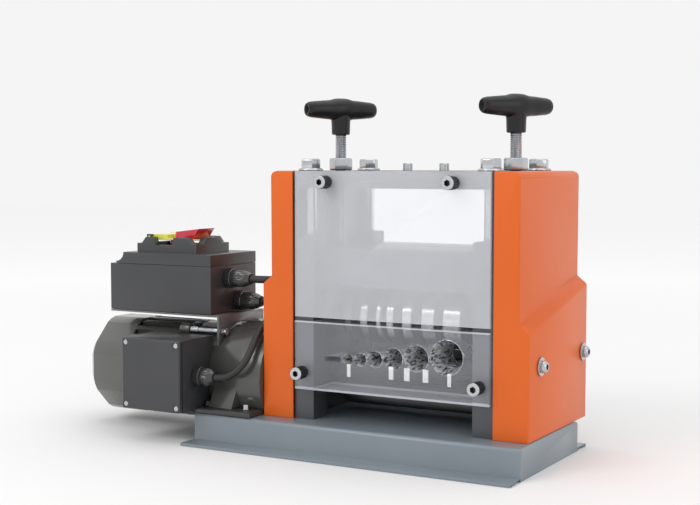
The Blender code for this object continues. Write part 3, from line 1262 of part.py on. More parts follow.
def build():
    base_channel()
    motor_mount_plate()
    for side, sign in SIGNS.items():
        side_plate(side)
        side_cover(side)
        adjusting_nut(side)
        adjusting_screw(side)
        t_handle(side)
        thumb_screw(side + "_guard_screw", sign * GUARD_SCREW_X, GUARD_SCREW_Z, GUARD_FACE, THUMB_BITE)
        thumb_screw(side + "_guide_screw", sign * GUIDE_SCREW_X, GUIDE_SCREW_Z, GUIDE_FACE, THUMB_BITE)
        top_bolt(side + "_front_top_bolt", sign * BOLT_X, -BOLT_Y)
        top_bolt(side + "_rear_top_bolt", sign * BOLT_X, BOLT_Y)
        for place, (y, z) in zip(("first", "second"), COVER_SCREWS[side]):
            cover_screw(side + "_cover_screw_" + place, side, y, z)
    top_plate()
    top_stud("left_top_stud", -STUD_LEFT)
    top_stud("right_top_stud", STUD_RIGHT)
    upper_guard()
    guide_block()
    rear_guard()
    carriage()
    cutter_shaft()
    feed_roller()
    roller_gear()
    motor_body()
    fan_cowl()
    motor_stator()
    motor_rotor()
    motor_fan()
    gear_housing()
    gearhead_layshaft()
    output_shaft()
    terminal_box()
    cable_gland("terminal_gland", -TERMINAL_RIGHT, TERMINAL_WALL, TERMINAL_GLAND_Y, TERMINAL_GLAND_Z,
                TERMINAL_GLAND_LENGTH)
    cable_gland("cord_gland", -SWITCH_RIGHT, SWITCH_WALL, MAINS_GLAND_Y, MAINS_GLAND_Z, GLAND_LENGTH)
    cable_gland("lead_gland", -SWITCH_RIGHT, SWITCH_WALL, LEAD_GLAND_Y, LEAD_GLAND_Z, GLAND_LENGTH)
    switch_bracket()
    bracket_standoff("front_bracket_standoff", MOTOR_Y - STANDOFF_REACH)
    bracket_standoff("rear_bracket_standoff", MOTOR_Y + STANDOFF_REACH)
    switch_box()
    switch_lid()
    switch_flap()
    stop_paddle()
    push_button("start_button", START_X, START_TOP, GREEN)
    push_button("stop_button", STOP_X, STOP_TOP, RED)
    tube("motor_lead", smooth_route(LEAD_ROUTE, 2 * LEAD_RADIUS * 2), LEAD_RADIUS, 2)
    mains = smooth_route(MAINS_ROUTE, 2 * CORD_RADIUS * 2)
    tube("mains_cord", mains, CORD_RADIUS, 2)
    coil = coil_points()
    tube("cord_coil", coil, CORD_RADIUS, 1)
    plug()
    length = sum((b - a).length for a, b in zip(mains, mains[1:]))
    length += sum((b - a).length for a, b in zip(coil, coil[1:]))
    print("cord length", round(length, 3), "least gap of the coil to itself",
          round(least_self_gap(coil, CORD_RADIUS), 5))


build()
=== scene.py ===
import math

import bpy
from mathutils import Matrix, Vector


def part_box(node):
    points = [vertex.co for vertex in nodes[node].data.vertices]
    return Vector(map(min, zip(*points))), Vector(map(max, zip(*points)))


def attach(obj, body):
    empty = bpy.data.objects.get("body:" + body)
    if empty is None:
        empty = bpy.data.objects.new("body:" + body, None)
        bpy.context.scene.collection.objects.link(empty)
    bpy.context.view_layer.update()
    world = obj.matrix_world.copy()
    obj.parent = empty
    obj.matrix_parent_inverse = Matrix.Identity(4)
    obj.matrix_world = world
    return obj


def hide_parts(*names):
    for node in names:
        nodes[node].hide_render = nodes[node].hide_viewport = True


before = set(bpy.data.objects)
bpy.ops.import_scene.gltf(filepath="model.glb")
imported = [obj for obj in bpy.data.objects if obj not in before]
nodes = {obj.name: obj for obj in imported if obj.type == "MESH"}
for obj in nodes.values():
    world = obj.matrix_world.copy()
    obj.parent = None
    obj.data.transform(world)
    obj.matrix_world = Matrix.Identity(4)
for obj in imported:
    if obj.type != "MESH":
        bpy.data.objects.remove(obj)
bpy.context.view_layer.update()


# Camera, floor and lights
# The view is the photograph's: a little above the bench, from the machine's front right. The floor
# is plain and pale, with a painted glow in it that grows with distance, and large soft lights stand
# in for a white studio.

# The camera was fitted in a frame whose X = 0 and Y = 0 are the middle of the two side covers.
cover_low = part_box("left_side_cover")[0]
cover_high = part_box("right_side_cover")[1]
MIDDLE = Vector(((cover_low[0] + cover_high[0]) / 2, (cover_low[1] + cover_high[1]) / 2, 0))
CAMERA_PLACE = Vector((0.5900, -1.2019, 0.2864))
CAMERA_AZIMUTH = math.radians(29.4)
CAMERA_ELEVATION = math.radians(3.82)
LENS = 67.9

camera_data = bpy.data.cameras.new("camera")
camera_data.lens = LENS
camera_data.sensor_width = 36
camera = bpy.data.objects.new("camera", camera_data)
bpy.context.scene.collection.objects.link(camera)
back = Vector((math.sin(CAMERA_AZIMUTH) * math.cos(CAMERA_ELEVATION),
               -math.cos(CAMERA_AZIMUTH) * math.cos(CAMERA_ELEVATION), math.sin(CAMERA_ELEVATION)))
camera.location = CAMERA_PLACE + MIDDLE
camera.rotation_mode = "QUATERNION"
camera.rotation_quaternion = (-back).to_track_quat("-Z", "Y")
camera_data.clip_start = 0.01
camera_data.clip_end = 50
bpy.context.scene.camera = camera
bpy.context.scene.view_settings.view_transform = "Standard"


class Value:
    """A node socket that takes part in sums and products, each of which adds a Math node."""

    def __init__(self, graph, socket):
        self.graph = graph
        self.socket = socket

    def _math(self, operation, first, second):
        return self.graph.node("ShaderNodeMath", {"operation": operation}, {0: first, 1: second})

    def __add__(self, other):
        return self._math("ADD", self, other)

    def __radd__(self, other):
        return self._math("ADD", other, self)

    def __sub__(self, other):
        return self._math("SUBTRACT", self, other)

    def __rsub__(self, other):
        return self._math("SUBTRACT", other, self)

    def __mul__(self, other):
        return self._math("MULTIPLY", self, other)

    def __rmul__(self, other):
        return self._math("MULTIPLY", other, self)

    def __gt__(self, other):
        return self._math("GREATER_THAN", self, other)

    def __lt__(self, other):
        return self._math("LESS_THAN", self, other)

    def wave(self, frequency):
        """A value between 0 and 1 that swings with this one."""
        swing = self._math("SINE", self * (2 * math.pi * frequency), 0)
        return swing * 0.5 + 0.5


class Finish:
    """A Principled material whose nodes are made one call at a time."""

    def __init__(self, name, colour, roughness, metallic=0, **constants):
        self.material = bpy.data.materials.new(name)
        self.material.use_nodes = True
        self.tree = self.material.node_tree
        self.shader = self.tree.nodes["Principled BSDF"]
        self.set("Base Color", (*colour, 1))
        self.set("Roughness", roughness)
        self.set("Metallic", metallic)
        for socket, value in constants.items():
            self.set(socket.replace("_", " "), value)
        coordinates = self.tree.nodes.new("ShaderNodeTexCoord")
        self.place = Value(self, coordinates.outputs["Object"])

    def set(self, socket, value):
        if isinstance(value, Value):
            self.tree.links.new(value.socket, self.shader.inputs[socket])
        else:
            self.shader.inputs[socket].default_value = value

    def node(self, kind, settings, inputs, output=0):
        made = self.tree.nodes.new(kind)
        for name, value in settings.items():
            if name == "stops":
                present = made.color_ramp.elements
                for k, (position, shade) in enumerate(value):
                    stop = present[k] if k < 2 else present.new(position)
                    stop.position = position
                    stop.color = (*shade, 1)
            else:
                setattr(made, name, value)
        for name, value in inputs.items():
            if isinstance(value, Value):
                self.tree.links.new(value.socket, made.inputs[name])
            else:
                made.inputs[name].default_value = value
        return Value(self, made.outputs[output])

    def axis(self, letter):
        return self.node("ShaderNodeSeparateXYZ", {}, {0: self.place}, letter)

    def noise(self, scale, detail=3, stretch=(1, 1, 1)):
        mapped = self.node("ShaderNodeMapping", {}, {"Vector": self.place, "Scale": stretch})
        return self.node("ShaderNodeTexNoise", {},
                         {"Vector": mapped, "Scale": scale, "Detail": detail})

    def ramp(self, value, stops):
        return self.node("ShaderNodeValToRGB", {"stops": stops}, {0: value})

    def blend(self, mask, first, second):
        """Colour that goes from the first to the second as the mask goes from 0 to 1."""
        shades = [shade if isinstance(shade, Value) else (*shade, 1) for shade in (first, second)]
        return self.node("ShaderNodeMix", {"data_type": "RGBA"},
                         {0: mask, 6: shades[0], 7: shades[1]}, 2)

    def spread(self, mask, first, second):
        """Number that goes from the first to the second as the mask goes from 0 to 1."""
        return mask * (second - first) + first

    def bump(self, height, strength, distance):
        made = self.node("ShaderNodeBump", {},
                         {"Strength": strength, "Distance": distance, "Height": height})
        self.set("Normal", made)

    def on(self, *things):
        """Puts this finish on objects or CAD nodes, which are named."""
        for thing in things:
            made = nodes[thing] if isinstance(thing, str) else thing
            made.data.materials.clear()
            made.data.materials.append(self.material)


bpy.ops.object.select_all(action="DESELECT")
bpy.ops.mesh.primitive_plane_add(size=12, location=(0, 0, -0.0002))
floor = bpy.context.object
floor.name = "studio_floor"
floor_finish = Finish("studio_floor_paint_and_glow", (0.84, 0.84, 0.84), 0.9)
floor_finish.set("Roughness", floor_finish.spread(floor_finish.noise(3.0), 0.8, 0.9))
across = floor_finish.axis("X")
along = floor_finish.axis("Y")
far = across * across + along * along
# Painted glow: the floor gives off light that grows with its distance from the machine
painted_floor_glow = floor_finish.ramp(far * 0.25, ((0.04, (0, 0, 0)), (1, (0.125, 0.125, 0.125))))
floor_finish.set("Emission Color", painted_floor_glow)
floor_finish.set("Emission Strength", 1.0)
floor_finish.on(floor)

world = bpy.data.worlds.new("studio")
world.use_nodes = True
world.node_tree.nodes["Background"].inputs["Color"].default_value = (1, 1, 1, 1)
world.node_tree.nodes["Background"].inputs["Strength"].default_value = 0.913
bpy.context.scene.world = world

# Each light: place, point that it faces, width, height and power in watts
LIGHTS = {
    "key_light": ((-0.9, -1.9, 1.7), (0, 0, 0.12), 1.4, 1.0, 15),
    "side_light": ((2.0, -0.5, 0.9), (0, 0, 0.15), 0.8, 1.4, 3),
    "top_light": ((0.1, 0.2, 2.2), (0, 0, 0), 2.0, 1.6, 8),
}
for name, (place, target, width, height, power) in LIGHTS.items():
    lamp = bpy.data.lights.new(name, "AREA")
    lamp.shape = "RECTANGLE"
    lamp.size = width
    lamp.size_y = height
    lamp.energy = power
    light = bpy.data.objects.new(name, lamp)
    bpy.context.scene.collection.objects.link(light)
    light.location = place
    light.rotation_mode = "QUATERNION"
    light.rotation_quaternion = (Vector(target) - Vector(place)).to_track_quat("-Z", "Y")


# Mains cord
# A round 8 mm rubber cord leaves the switch box's upper gland, turns back beside the left cover,
# drops to the floor behind the machine and lies there in a neat coil that ends in a moulded plug.
CORD_RADIUS = 0.004
MAINS_ROUTE = (
    (-0.1857, -0.0380, 0.1650), (-0.1795, -0.0380, 0.1650), (-0.1682, -0.0360, 0.1650),
    (-0.1583, -0.0303, 0.1649), (-0.1509, -0.0215, 0.1644), (-0.1470, -0.0107, 0.1634),
    (-0.1467, -0.0010, 0.1618), (-0.1478, 0.0100, 0.1588), (-0.1507, 0.0240, 0.1531),
    (-0.1538, 0.0390, 0.1437), (-0.1566, 0.0540, 0.1303), (-0.1582, 0.0685, 0.1120),
    (-0.1580, 0.0820, 0.0900), (-0.1562, 0.0935, 0.0670), (-0.1528, 0.1035, 0.0450),
    (-0.1470, 0.1125, 0.0265), (-0.1380, 0.1205, 0.0135), (-0.1260, 0.1275, 0.0070),
    (-0.1120, 0.1325, 0.0046), (-0.0980, 0.1347, 0.0043), (-0.0783, 0.1350, 0.0043),
)
COIL_CENTRE = (-0.070, 0.190)
COIL_RADIUS = 0.044
COIL_PITCH = 0.0088
COIL_LAYER = 0.0087
COIL_FLOOR = 0.0043
COIL_TURNS = 5
COIL_STEPS = 24
COIL_TAIL = 0.035
CLIMB_SHARE = 0.25


def coil_route():
    """Turns that spiral in on the floor, climb while they turn back, and spiral out on top."""
    half = COIL_TURNS / 2
    points = []
    for k in range(COIL_TURNS * COIL_STEPS + 1):
        turn = k / COIL_STEPS - half
        away = abs(turn)
        if away < CLIMB_SHARE:
            away = turn ** 2 / (2 * CLIMB_SHARE) + CLIMB_SHARE / 2
        radius = COIL_RADIUS + COIL_PITCH * (away - half / 2)
        rise = min(max((turn / CLIMB_SHARE + 1) / 2, 0), 1)
        angle = 2 * math.pi * (turn + half) - math.pi / 2
        points.append(Vector((COIL_CENTRE[0] + radius * math.cos(angle),
                              COIL_CENTRE[1] + radius * math.sin(angle),
                              COIL_FLOOR + COIL_LAYER * rise ** 2 * (3 - 2 * rise))))
    start = points[0] - Vector((2 * CORD_RADIUS, 0, 0))
    return [start] + points + [points[-1] + Vector((COIL_TAIL, 0, 0))]


def smooth(route, steps):
    """Points on a smooth curve through the chosen ones, its two end stretches straight."""
    points = [Vector(point) for point in route]
    made = [points[0]]
    for i in range(1, len(points) - 2):
        before, start, end, after = points[i - 1:i + 3]
        for k in range(steps):
            t = k / steps
            made.append(0.5 * (2 * start + (end - before) * t
                               + (2 * before - 5 * start + 4 * end - after) * t ** 2
                               + (3 * start - before - 3 * end + after) * t ** 3))
    return made + points[-2:]


def cord_curve(name, points, radius):
    """Round cord along the points, given from the middle of the covers."""
    curve = bpy.data.curves.new(name, "CURVE")
    curve.dimensions = "3D"
    curve.bevel_depth = radius
    curve.bevel_resolution = 4
    curve.use_fill_caps = True
    spline = curve.splines.new("POLY")
    spline.points.add(len(points) - 1)
    for target, point in zip(spline.points, points):
        target.co = (*(point + MIDDLE), 1)
    made = bpy.data.objects.new(name, curve)
    bpy.context.scene.collection.objects.link(made)
    return made


def cord_finish(name):
    """Matte black rubber with a faint bloom."""
    finish = Finish(name, (0.018, 0.018, 0.019), 0.5)
    cloud = finish.noise(60.0, 4)
    finish.set("Base Color", finish.blend(cloud, (0.012, 0.012, 0.013), (0.026, 0.026, 0.028)))
    finish.set("Roughness", finish.spread(cloud, 0.42, 0.58))
    finish.bump(finish.noise(900.0, 2), 0.15, 0.0002)
    return finish


mains_points = smooth(MAINS_ROUTE, 6) + coil_route()
mains = cord_curve("mains_cord_dressed", mains_points, CORD_RADIUS)
cord_rubber = cord_finish("cord_rubber")
cord_rubber.on(mains)
mains_length = sum((b - a).length for a, b in zip(mains_points, mains_points[1:]))
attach(mains, "machine")
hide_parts("mains_cord", "cord_coil")
cord_rubber.on("plug")
mains_points[0] + MIDDLE


# Motor lead
# A shorter lead in the same rubber runs from the terminal box's gland over the gear housing to the
# switch box's lower gland. Both ends are fixed, so it is part of the machine, not a free cord.
LEAD_RADIUS = 0.0037
LEAD_ROUTE = (
    (-0.1897, -0.1000, 0.0680), (-0.1870, -0.1000, 0.0680), (-0.1774, -0.0995, 0.0694),
    (-0.1688, -0.0980, 0.0736), (-0.1619, -0.0952, 0.0798), (-0.1575, -0.0911, 0.0875),
    (-0.1560, -0.0859, 0.0955), (-0.1555, -0.0772, 0.1059), (-0.1555, -0.0671, 0.1152),
    (-0.1555, -0.0561, 0.1232), (-0.1556, -0.0443, 0.1300), (-0.1570, -0.0364, 0.1336),
    (-0.1613, -0.0291, 0.1364), (-0.1675, -0.0232, 0.1382), (-0.1753, -0.0193, 0.1392),
    (-0.1840, -0.0180, 0.1395), (-0.1857, -0.0180, 0.1395),
)
lead_points = smooth(LEAD_ROUTE, 6)
lead = cord_curve("motor_lead_dressed", lead_points, LEAD_RADIUS)
cord_rubber.on(lead)
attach(lead, "machine")
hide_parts("motor_lead")
lead_points[0] + MIDDLE
sum((b - a).length for a, b in zip(lead_points, lead_points[1:]))


# Side covers
# Two sheet steel covers, each folded from one blank so that its lower half stands further out, then
# powder coated. Each is open toward its side plate and stands on the base; the left is the right
# one turned half round.
COVER_INNER = 0.1093
COVER_UPPER = 0.1347
COVER_LOWER = 0.1448
COVER_DEPTH = 0.0785
COVER_TOP = 0.2800
COVER_FOOT = 0.0303
COVER_STEP = 0.0360
COVER_STEP_FRONT = 0.1380
COVER_STEP_DROP = 0.0080
COVER_SHEET = 0.0020
COVER_ROUND = 0.0070
COVER_CREASE = 0.0016
# How far from a plane an element still counts as lying on it
NEAR = 0.001


def alone(*pieces):
    """Object mode with only these pieces selected, the first of them active."""
    if bpy.context.mode != "OBJECT":
        bpy.ops.object.mode_set(mode="OBJECT")
    bpy.ops.object.select_all(action="DESELECT")
    for piece in pieces:
        piece.select_set(True)
        bpy.context.view_layer.objects.active = pieces[0]


def box(name, low, high):
    """Cube primitive stretched between two corners."""
    alone()
    centre = [(a + b) / 2 for a, b in zip(low, high)]
    bpy.ops.mesh.primitive_cube_add(size=1, location=centre)
    piece = bpy.context.object
    piece.name = name
    piece.scale = [b - a for a, b in zip(low, high)]
    bpy.ops.object.transform_apply(location=True, rotation=True, scale=True)
    return piece


def pick(piece, kind, test):
    """Edit mode with only those elements of a kind selected whose place and way pass the test."""
    alone(piece)
    mesh = piece.data
    for group in (mesh.vertices, mesh.edges, mesh.polygons):
        group.foreach_set("select", [False] * len(group))
    for element in getattr(mesh, kind):
        if kind == "vertices":
            chosen = test(element.co, element.normal)
        elif kind == "polygons":
            chosen = test(element.center, element.normal)
        else:
            start, end = (mesh.vertices[i].co for i in element.vertices)
            chosen = test((start + end) / 2, (end - start).normalized())
        element.select = bool(chosen)
    kinds = ("vertices", "edges", "polygons")
    bpy.context.tool_settings.mesh_select_mode = [kind == name for name in kinds]
    bpy.ops.object.mode_set(mode="EDIT")


def everything(place, way):
    return True


def apply_modifier(piece, kind, **settings):
    """Adds a modifier with these settings and applies it."""
    alone(piece)
    modifier = piece.modifiers.new(kind.lower(), kind)
    for name, value in settings.items():
        setattr(modifier, name, value)
    bpy.ops.object.modifier_apply(modifier=modifier.name)


def round_edges(piece, width, segments=2, angle=30):
    """Small round on every edge that turns by more than the angle."""
    apply_modifier(piece, "BEVEL", width=width, segments=segments, limit_method="ANGLE",
                   angle_limit=math.radians(angle), use_clamp_overlap=True)


def settle(piece, finish, body, slot, *stands_for, smooth=30):
    """Closes a piece's mesh, moves it from the covers' middle to its place and names its body."""
    pick(piece, "vertices", everything)
    bpy.ops.mesh.remove_doubles(threshold=0.000002)
    bpy.ops.object.mode_set(mode="OBJECT")
    bpy.ops.object.shade_smooth_by_angle(angle=math.radians(smooth))
    piece.data.transform(Matrix.Translation(MIDDLE))
    finish.on(piece)
    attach(piece, body)
    if stands_for:
        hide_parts(*stands_for)


def copy_of(piece, name, matrix):
    """Copy with its own mesh, moved by the matrix."""
    twin = piece.copy()
    twin.data = piece.data.copy()
    twin.name = name
    twin.data.transform(matrix)
    bpy.context.scene.collection.objects.link(twin)
    return twin


def outward(piece):
    """Turns every face of a closed piece to point outwards."""
    pick(piece, "polygons", everything)
    bpy.ops.mesh.normals_make_consistent(inside=False)
    bpy.ops.object.mode_set(mode="OBJECT")


right_cover = box("right_side_cover_dressed", (COVER_INNER, -COVER_DEPTH, COVER_FOOT),
                  (COVER_LOWER, COVER_DEPTH, COVER_TOP))
step_way = Vector((0, -COVER_STEP, 2 * COVER_DEPTH)).normalized()
for drop in (0, COVER_STEP_DROP):
    pick(right_cover, "polygons", everything)
    bpy.ops.mesh.bisect(plane_co=(0, -COVER_DEPTH, COVER_STEP_FRONT - drop), plane_no=step_way)
step_start = Vector((0, -COVER_DEPTH, COVER_STEP_FRONT - COVER_STEP_DROP / 2))
pick(right_cover, "vertices", lambda place, way: place.x > COVER_UPPER + NEAR
     and (place - step_start).dot(step_way) > 0)
bpy.ops.transform.translate(value=(COVER_UPPER - COVER_LOWER, 0, 0))
pick(right_cover, "polygons", lambda place, way: way.x < -0.9 or way.z < -0.9)
bpy.ops.mesh.delete(type="FACE")
pick(right_cover, "edges", lambda place, way: abs(way.y) > 0.9 and place.z > COVER_TOP - NEAR
     and place.x > COVER_UPPER - NEAR)
bpy.ops.mesh.bevel(offset=COVER_ROUND, segments=6, affect="EDGES")
pick(right_cover, "edges", lambda place, way: place.x > COVER_UPPER - NEAR
     and COVER_FOOT + 0.0005 < place.z < COVER_TOP - COVER_ROUND - NEAR
     and (abs(place.y) > COVER_DEPTH - NEAR or abs(way.y) > 0.9)
     or place.z > COVER_TOP - NEAR and abs(place.y) > COVER_DEPTH - NEAR)
bpy.ops.mesh.bevel(offset=COVER_CREASE, segments=3, affect="EDGES")
apply_modifier(right_cover, "SOLIDIFY", thickness=COVER_SHEET, offset=-1, use_even_offset=True)
round_edges(right_cover, 0.0003, 1, 60)
left_cover = copy_of(right_cover, "left_side_cover_dressed", Matrix.Rotation(math.pi, 4, "Z"))

orange_coat = Finish("orange_powder_coat", (0.66, 0.115, 0.010), 0.40, Coat_Weight=0.05,
                     Coat_Roughness=0.22, Specular_IOR_Level=0.3)
cloud = orange_coat.noise(7.0, 4)
orange_coat.set("Base Color", orange_coat.blend(cloud, (0.64, 0.106, 0.008), (0.74, 0.132, 0.013)))
orange_coat.set("Roughness", orange_coat.spread(orange_coat.noise(24.0, 4), 0.30, 0.42))
orange_coat.bump(orange_coat.noise(420.0, 2), 0.10, 0.0004)
for side, cover in (("left", left_cover), ("right", right_cover)):
    settle(cover, orange_coat, "machine", "orange_paint", side + "_side_cover")


# Base
# A channel folded from 3 mm sheet steel with closed ends and a flange along the front and the rear.
# It has a glossy blue-grey paint.
BASE_LEFT = -0.2141
BASE_RIGHT = 0.1471
BASE_FRONT = -0.1024
BASE_BACK = 0.0480
BASE_TOP = 0.0300
BASE_SHEET = 0.0030
FLANGE_REACH = 0.0250
BASE_BEND = 0.0040
BASE_END_BEND = 0.0018
base = box("base_channel_dressed", (BASE_LEFT, BASE_FRONT, BASE_SHEET),
           (BASE_RIGHT, BASE_BACK, BASE_TOP))
pick(base, "polygons", lambda place, way: way.z < -0.9)
bpy.ops.mesh.delete(type="ONLY_FACE")
for end in (-1, 1):
    pick(base, "edges", lambda place, way: abs(way.y) > 0.9 and place.z < BASE_SHEET + NEAR
         and place.x * end > 0.1)
    bpy.ops.mesh.extrude_edges_move(TRANSFORM_OT_translate={"value": (0, 0, -BASE_SHEET)})
for wall, way_out in ((BASE_FRONT, -1), (BASE_BACK, 1)):
    pick(base, "edges", lambda place, way: abs(way.x) > 0.9 and abs(place.z - BASE_SHEET) < 0.0001
         and abs(place.y - wall) < NEAR)
    bpy.ops.mesh.extrude_edges_move(
        TRANSFORM_OT_translate={"value": (0, way_out * FLANGE_REACH, 0)})
pick(base, "edges", lambda place, way: place.z > BASE_TOP - NEAR and abs(way.x) > 0.9)
bpy.ops.mesh.bevel(offset=BASE_BEND, segments=5, affect="EDGES")
pick(base, "edges", lambda place, way: place.z > BASE_TOP - NEAR and abs(way.y) > 0.9)
bpy.ops.mesh.bevel(offset=BASE_END_BEND, segments=3, affect="EDGES")
apply_modifier(base, "SOLIDIFY", thickness=BASE_SHEET, offset=-1, use_even_offset=True)
round_edges(base, 0.0004, 2, 50)

base_paint = Finish("blue_grey_paint", (0.19, 0.228, 0.258), 0.34, Coat_Weight=0.35,
                    Coat_Roughness=0.15)
cloud = base_paint.noise(9.0, 4)
base_paint.set("Base Color", base_paint.blend(cloud, (0.168, 0.204, 0.232), (0.215, 0.256, 0.288)))
base_paint.set("Roughness", base_paint.spread(base_paint.noise(30.0, 4), 0.26, 0.42))
base_paint.bump(base_paint.noise(380.0, 2), 0.10, 0.0004)
settle(base, base_paint, "machine", "base_paint", "base_channel")


# Frame
# Two steel side plates, each a web with two thick posts milled as a slideway, carry a top plate.
# They are machined all over and phosphated to a soft blue-grey; bolts hold them from above.
def metal_finish(name, dark, light, roughness, metallic, scale, stretch=(1, 1, 1)):
    """Metal whose colour and roughness drift a little, with fine tool marks."""
    finish = Finish(name, dark, roughness, metallic)
    drift = finish.noise(scale, 4, stretch)
    finish.set("Base Color", finish.blend(drift, dark, light))
    finish.set("Roughness", finish.spread(drift, roughness * 0.8, roughness * 1.2))
    finish.bump(finish.noise(scale * 12, 2, stretch), 0.08, 0.0002)
    return finish


frame_steel = metal_finish("phosphated_steel", (0.065, 0.067, 0.076), (0.105, 0.107, 0.12), 0.34,
                           0.5, 14.0, (1, 1, 0.25))
frame_steel.on("left_side_plate", "right_side_plate", "top_plate")


# Top bolts, adjusting nuts and studs
# Bright plated hardware on the top plate: four hex flange bolts that go down into the posts, the
# two hex nuts in which the adjusting screws turn, and two short studs.
BOLT_CORNERS = {"left_front": (-1, -1), "left_rear": (-1, 1),
                "right_front": (1, -1), "right_rear": (1, 1)}
SIDES = {"left": -1, "right": 1}
BOLT_X = 0.0982
BOLT_Y = 0.0610
BOLT_FOOT = 0.0915
BOLT_ACROSS = 0.0180
BOLT_HEAD = 0.0098
BOLT_DISH = 0.0008
PLATE_TOP = 0.2800
STUDS = {"left": -0.0197, "right": 0.0212}
STUD_STEPS = [(0.2700, 0.0050), (0.2868, 0.0050), (0.2876, 0.0044)]


def turned(name, profile, base=(0, 0, 0), way=(0, 0, 1), sides=48):
    """Closed solid of (height, radius) steps from a disc, stood on its base to face that way."""
    alone()
    height, radius = profile[0]
    bpy.ops.mesh.primitive_circle_add(vertices=sides, radius=radius, fill_type="NGON",
                                      location=(0, 0, height))
    piece = bpy.context.object
    piece.name = name
    bpy.ops.object.transform_apply(location=True, rotation=False, scale=False)
    pick(piece, "polygons", everything)
    for next_height, next_radius in profile[1:]:
        bpy.ops.mesh.extrude_region_move(
            TRANSFORM_OT_translate={"value": (0, 0, next_height - height)})
        bpy.ops.transform.resize(value=(next_radius / radius, next_radius / radius, 1),
                                 center_override=(0, 0, next_height))
        height, radius = next_height, next_radius
    outward(piece)
    stand = Vector(way).to_track_quat("Z", "Y").to_matrix().to_4x4()
    piece.data.transform(Matrix.Translation(base) @ stand)
    return piece


def joined(name, *pieces):
    """Makes one object of several."""
    alone(*pieces)
    bpy.ops.object.join()
    pieces[0].name = name
    return pieces[0]


def hex_head(name, across, height, foot, dish):
    """Hex block with its upper corners chamfered and a shallow dish in its top."""
    corner = across / math.sqrt(3)
    head = turned(name, [(foot, corner), (foot + height - 0.0012, corner),
                         (foot + height, corner * 0.90)], sides=6)
    round_edges(head, 0.0005, 3, 20)
    pick(head, "polygons", lambda place, way: way.z > 0.99)
    bpy.ops.mesh.inset(thickness=0.0022)
    bpy.ops.transform.translate(value=(0, 0, -dish))
    return head


def placed_copies(piece, places, finish, body, slot, node, smooth=30):
    """Settles a copy for each name, which fills {} in body and node, and removes the first."""
    for name, matrix in places.items():
        made = copy_of(piece, node.format(name) + "_dressed", matrix)
        settle(made, finish, body.format(name), slot, node.format(name), smooth=smooth)
    bpy.data.objects.remove(piece)


bright_steel = metal_finish("bright_plated_steel", (0.40, 0.41, 0.43), (0.62, 0.63, 0.65), 0.14,
                            1.0, 90.0)
shank = turned("bolt_shank", [(BOLT_FOOT, 0.0052), (BOLT_FOOT + 0.0010, 0.0060),
                              (PLATE_TOP, 0.0060), (PLATE_TOP, 0.0125),
                              (PLATE_TOP + 0.0014, 0.0125), (PLATE_TOP + 0.0025, 0.0112)])
round_edges(shank, 0.0003, 2, 40)
bolt = joined("top_bolt", shank,
              hex_head("bolt_head", BOLT_ACROSS, BOLT_HEAD, PLATE_TOP + 0.0022, BOLT_DISH))
corners = {corner: Matrix.Translation((across * BOLT_X, along * BOLT_Y, 0))
           @ Matrix.Rotation(0.4 + 0.5 * across + 0.3 * along, 4, "Z")
           for corner, (across, along) in BOLT_CORNERS.items()}
placed_copies(bolt, corners, bright_steel, "machine", "bright_steel", "{}_top_bolt")

nut = turned("adjusting_nut", [(PLATE_TOP + 0.0003, 0.0110), (PLATE_TOP + 0.0015, 0.0120),
                               (PLATE_TOP + 0.0115, 0.0120), (PLATE_TOP + 0.0129, 0.0110)], sides=6)
round_edges(nut, 0.0004, 3, 20)
for under in (True, False):
    pick(nut, "polygons", lambda place, way: abs(way.z) > 0.99
         and (place.z < PLATE_TOP + 0.005) == under)
    bpy.ops.mesh.inset(thickness=0.0040)
pick(nut, "polygons", lambda place, way: abs(way.z) > 0.99
     and math.hypot(place.x, place.y) < 0.0001)
bpy.ops.mesh.bridge_edge_loops()
both_sides = {side: Matrix.Translation((sign * BOLT_X, 0, 0)) for side, sign in SIDES.items()}
placed_copies(nut, both_sides, bright_steel, "machine", "bright_steel", "{}_adjusting_nut")

for side, x in STUDS.items():
    stud = turned(side + "_top_stud_dressed", STUD_STEPS, (x, 0, 0))
    pick(stud, "polygons", lambda place, way: way.z > 0.99)
    bpy.ops.mesh.inset(thickness=0.0016)
    bpy.ops.transform.translate(value=(0, 0, -0.0030))
    settle(stud, bright_steel, "machine", "bright_steel", side + "_top_stud")


# Adjusting screws
# Two M12 threaded rods run through the nuts and press the carriage down; a turned tip at the foot
# of each sits in the carriage. The thread is rolled and bright.
SCREW_FOOT = 0.1850
CARRIAGE_TOP = 0.2033
SCREW_TOP = 0.3350
THREAD_PITCH = 0.00175
THREAD_CREST = 0.0060
THREAD_ROOT = 0.0052
TIP_RADIUS = 0.0040
thread_steel = metal_finish("rolled_thread_steel", (0.42, 0.43, 0.45), (0.62, 0.63, 0.65), 0.22,
                            1.0, 120.0)
profile = [(SCREW_FOOT, 0.0032), (SCREW_FOOT + 0.0008, TIP_RADIUS), (CARRIAGE_TOP, TIP_RADIUS),
           (CARRIAGE_TOP, THREAD_ROOT)]
rise = CARRIAGE_TOP + THREAD_PITCH / 2
while rise + THREAD_PITCH < SCREW_TOP:
    profile += [(rise, THREAD_CREST), (rise + THREAD_PITCH / 2, THREAD_ROOT)]
    rise += THREAD_PITCH
threaded = turned("threaded_rod", profile + [(SCREW_TOP, 0.0050)], sides=32)
placed_copies(threaded, both_sides, thread_steel, "{}_screw", "bright_steel",
              "{}_adjusting_screw", 20)


# T-handles
# A black moulded T on top of each screw: a round bar that swells in the middle, with flat ringed
# ends, on a tapered stem.
HANDLE_AXIS = 0.3430
HANDLE_HALF = 0.0395
HANDLE_END = 0.0062
HANDLE_TURN = math.radians(57)
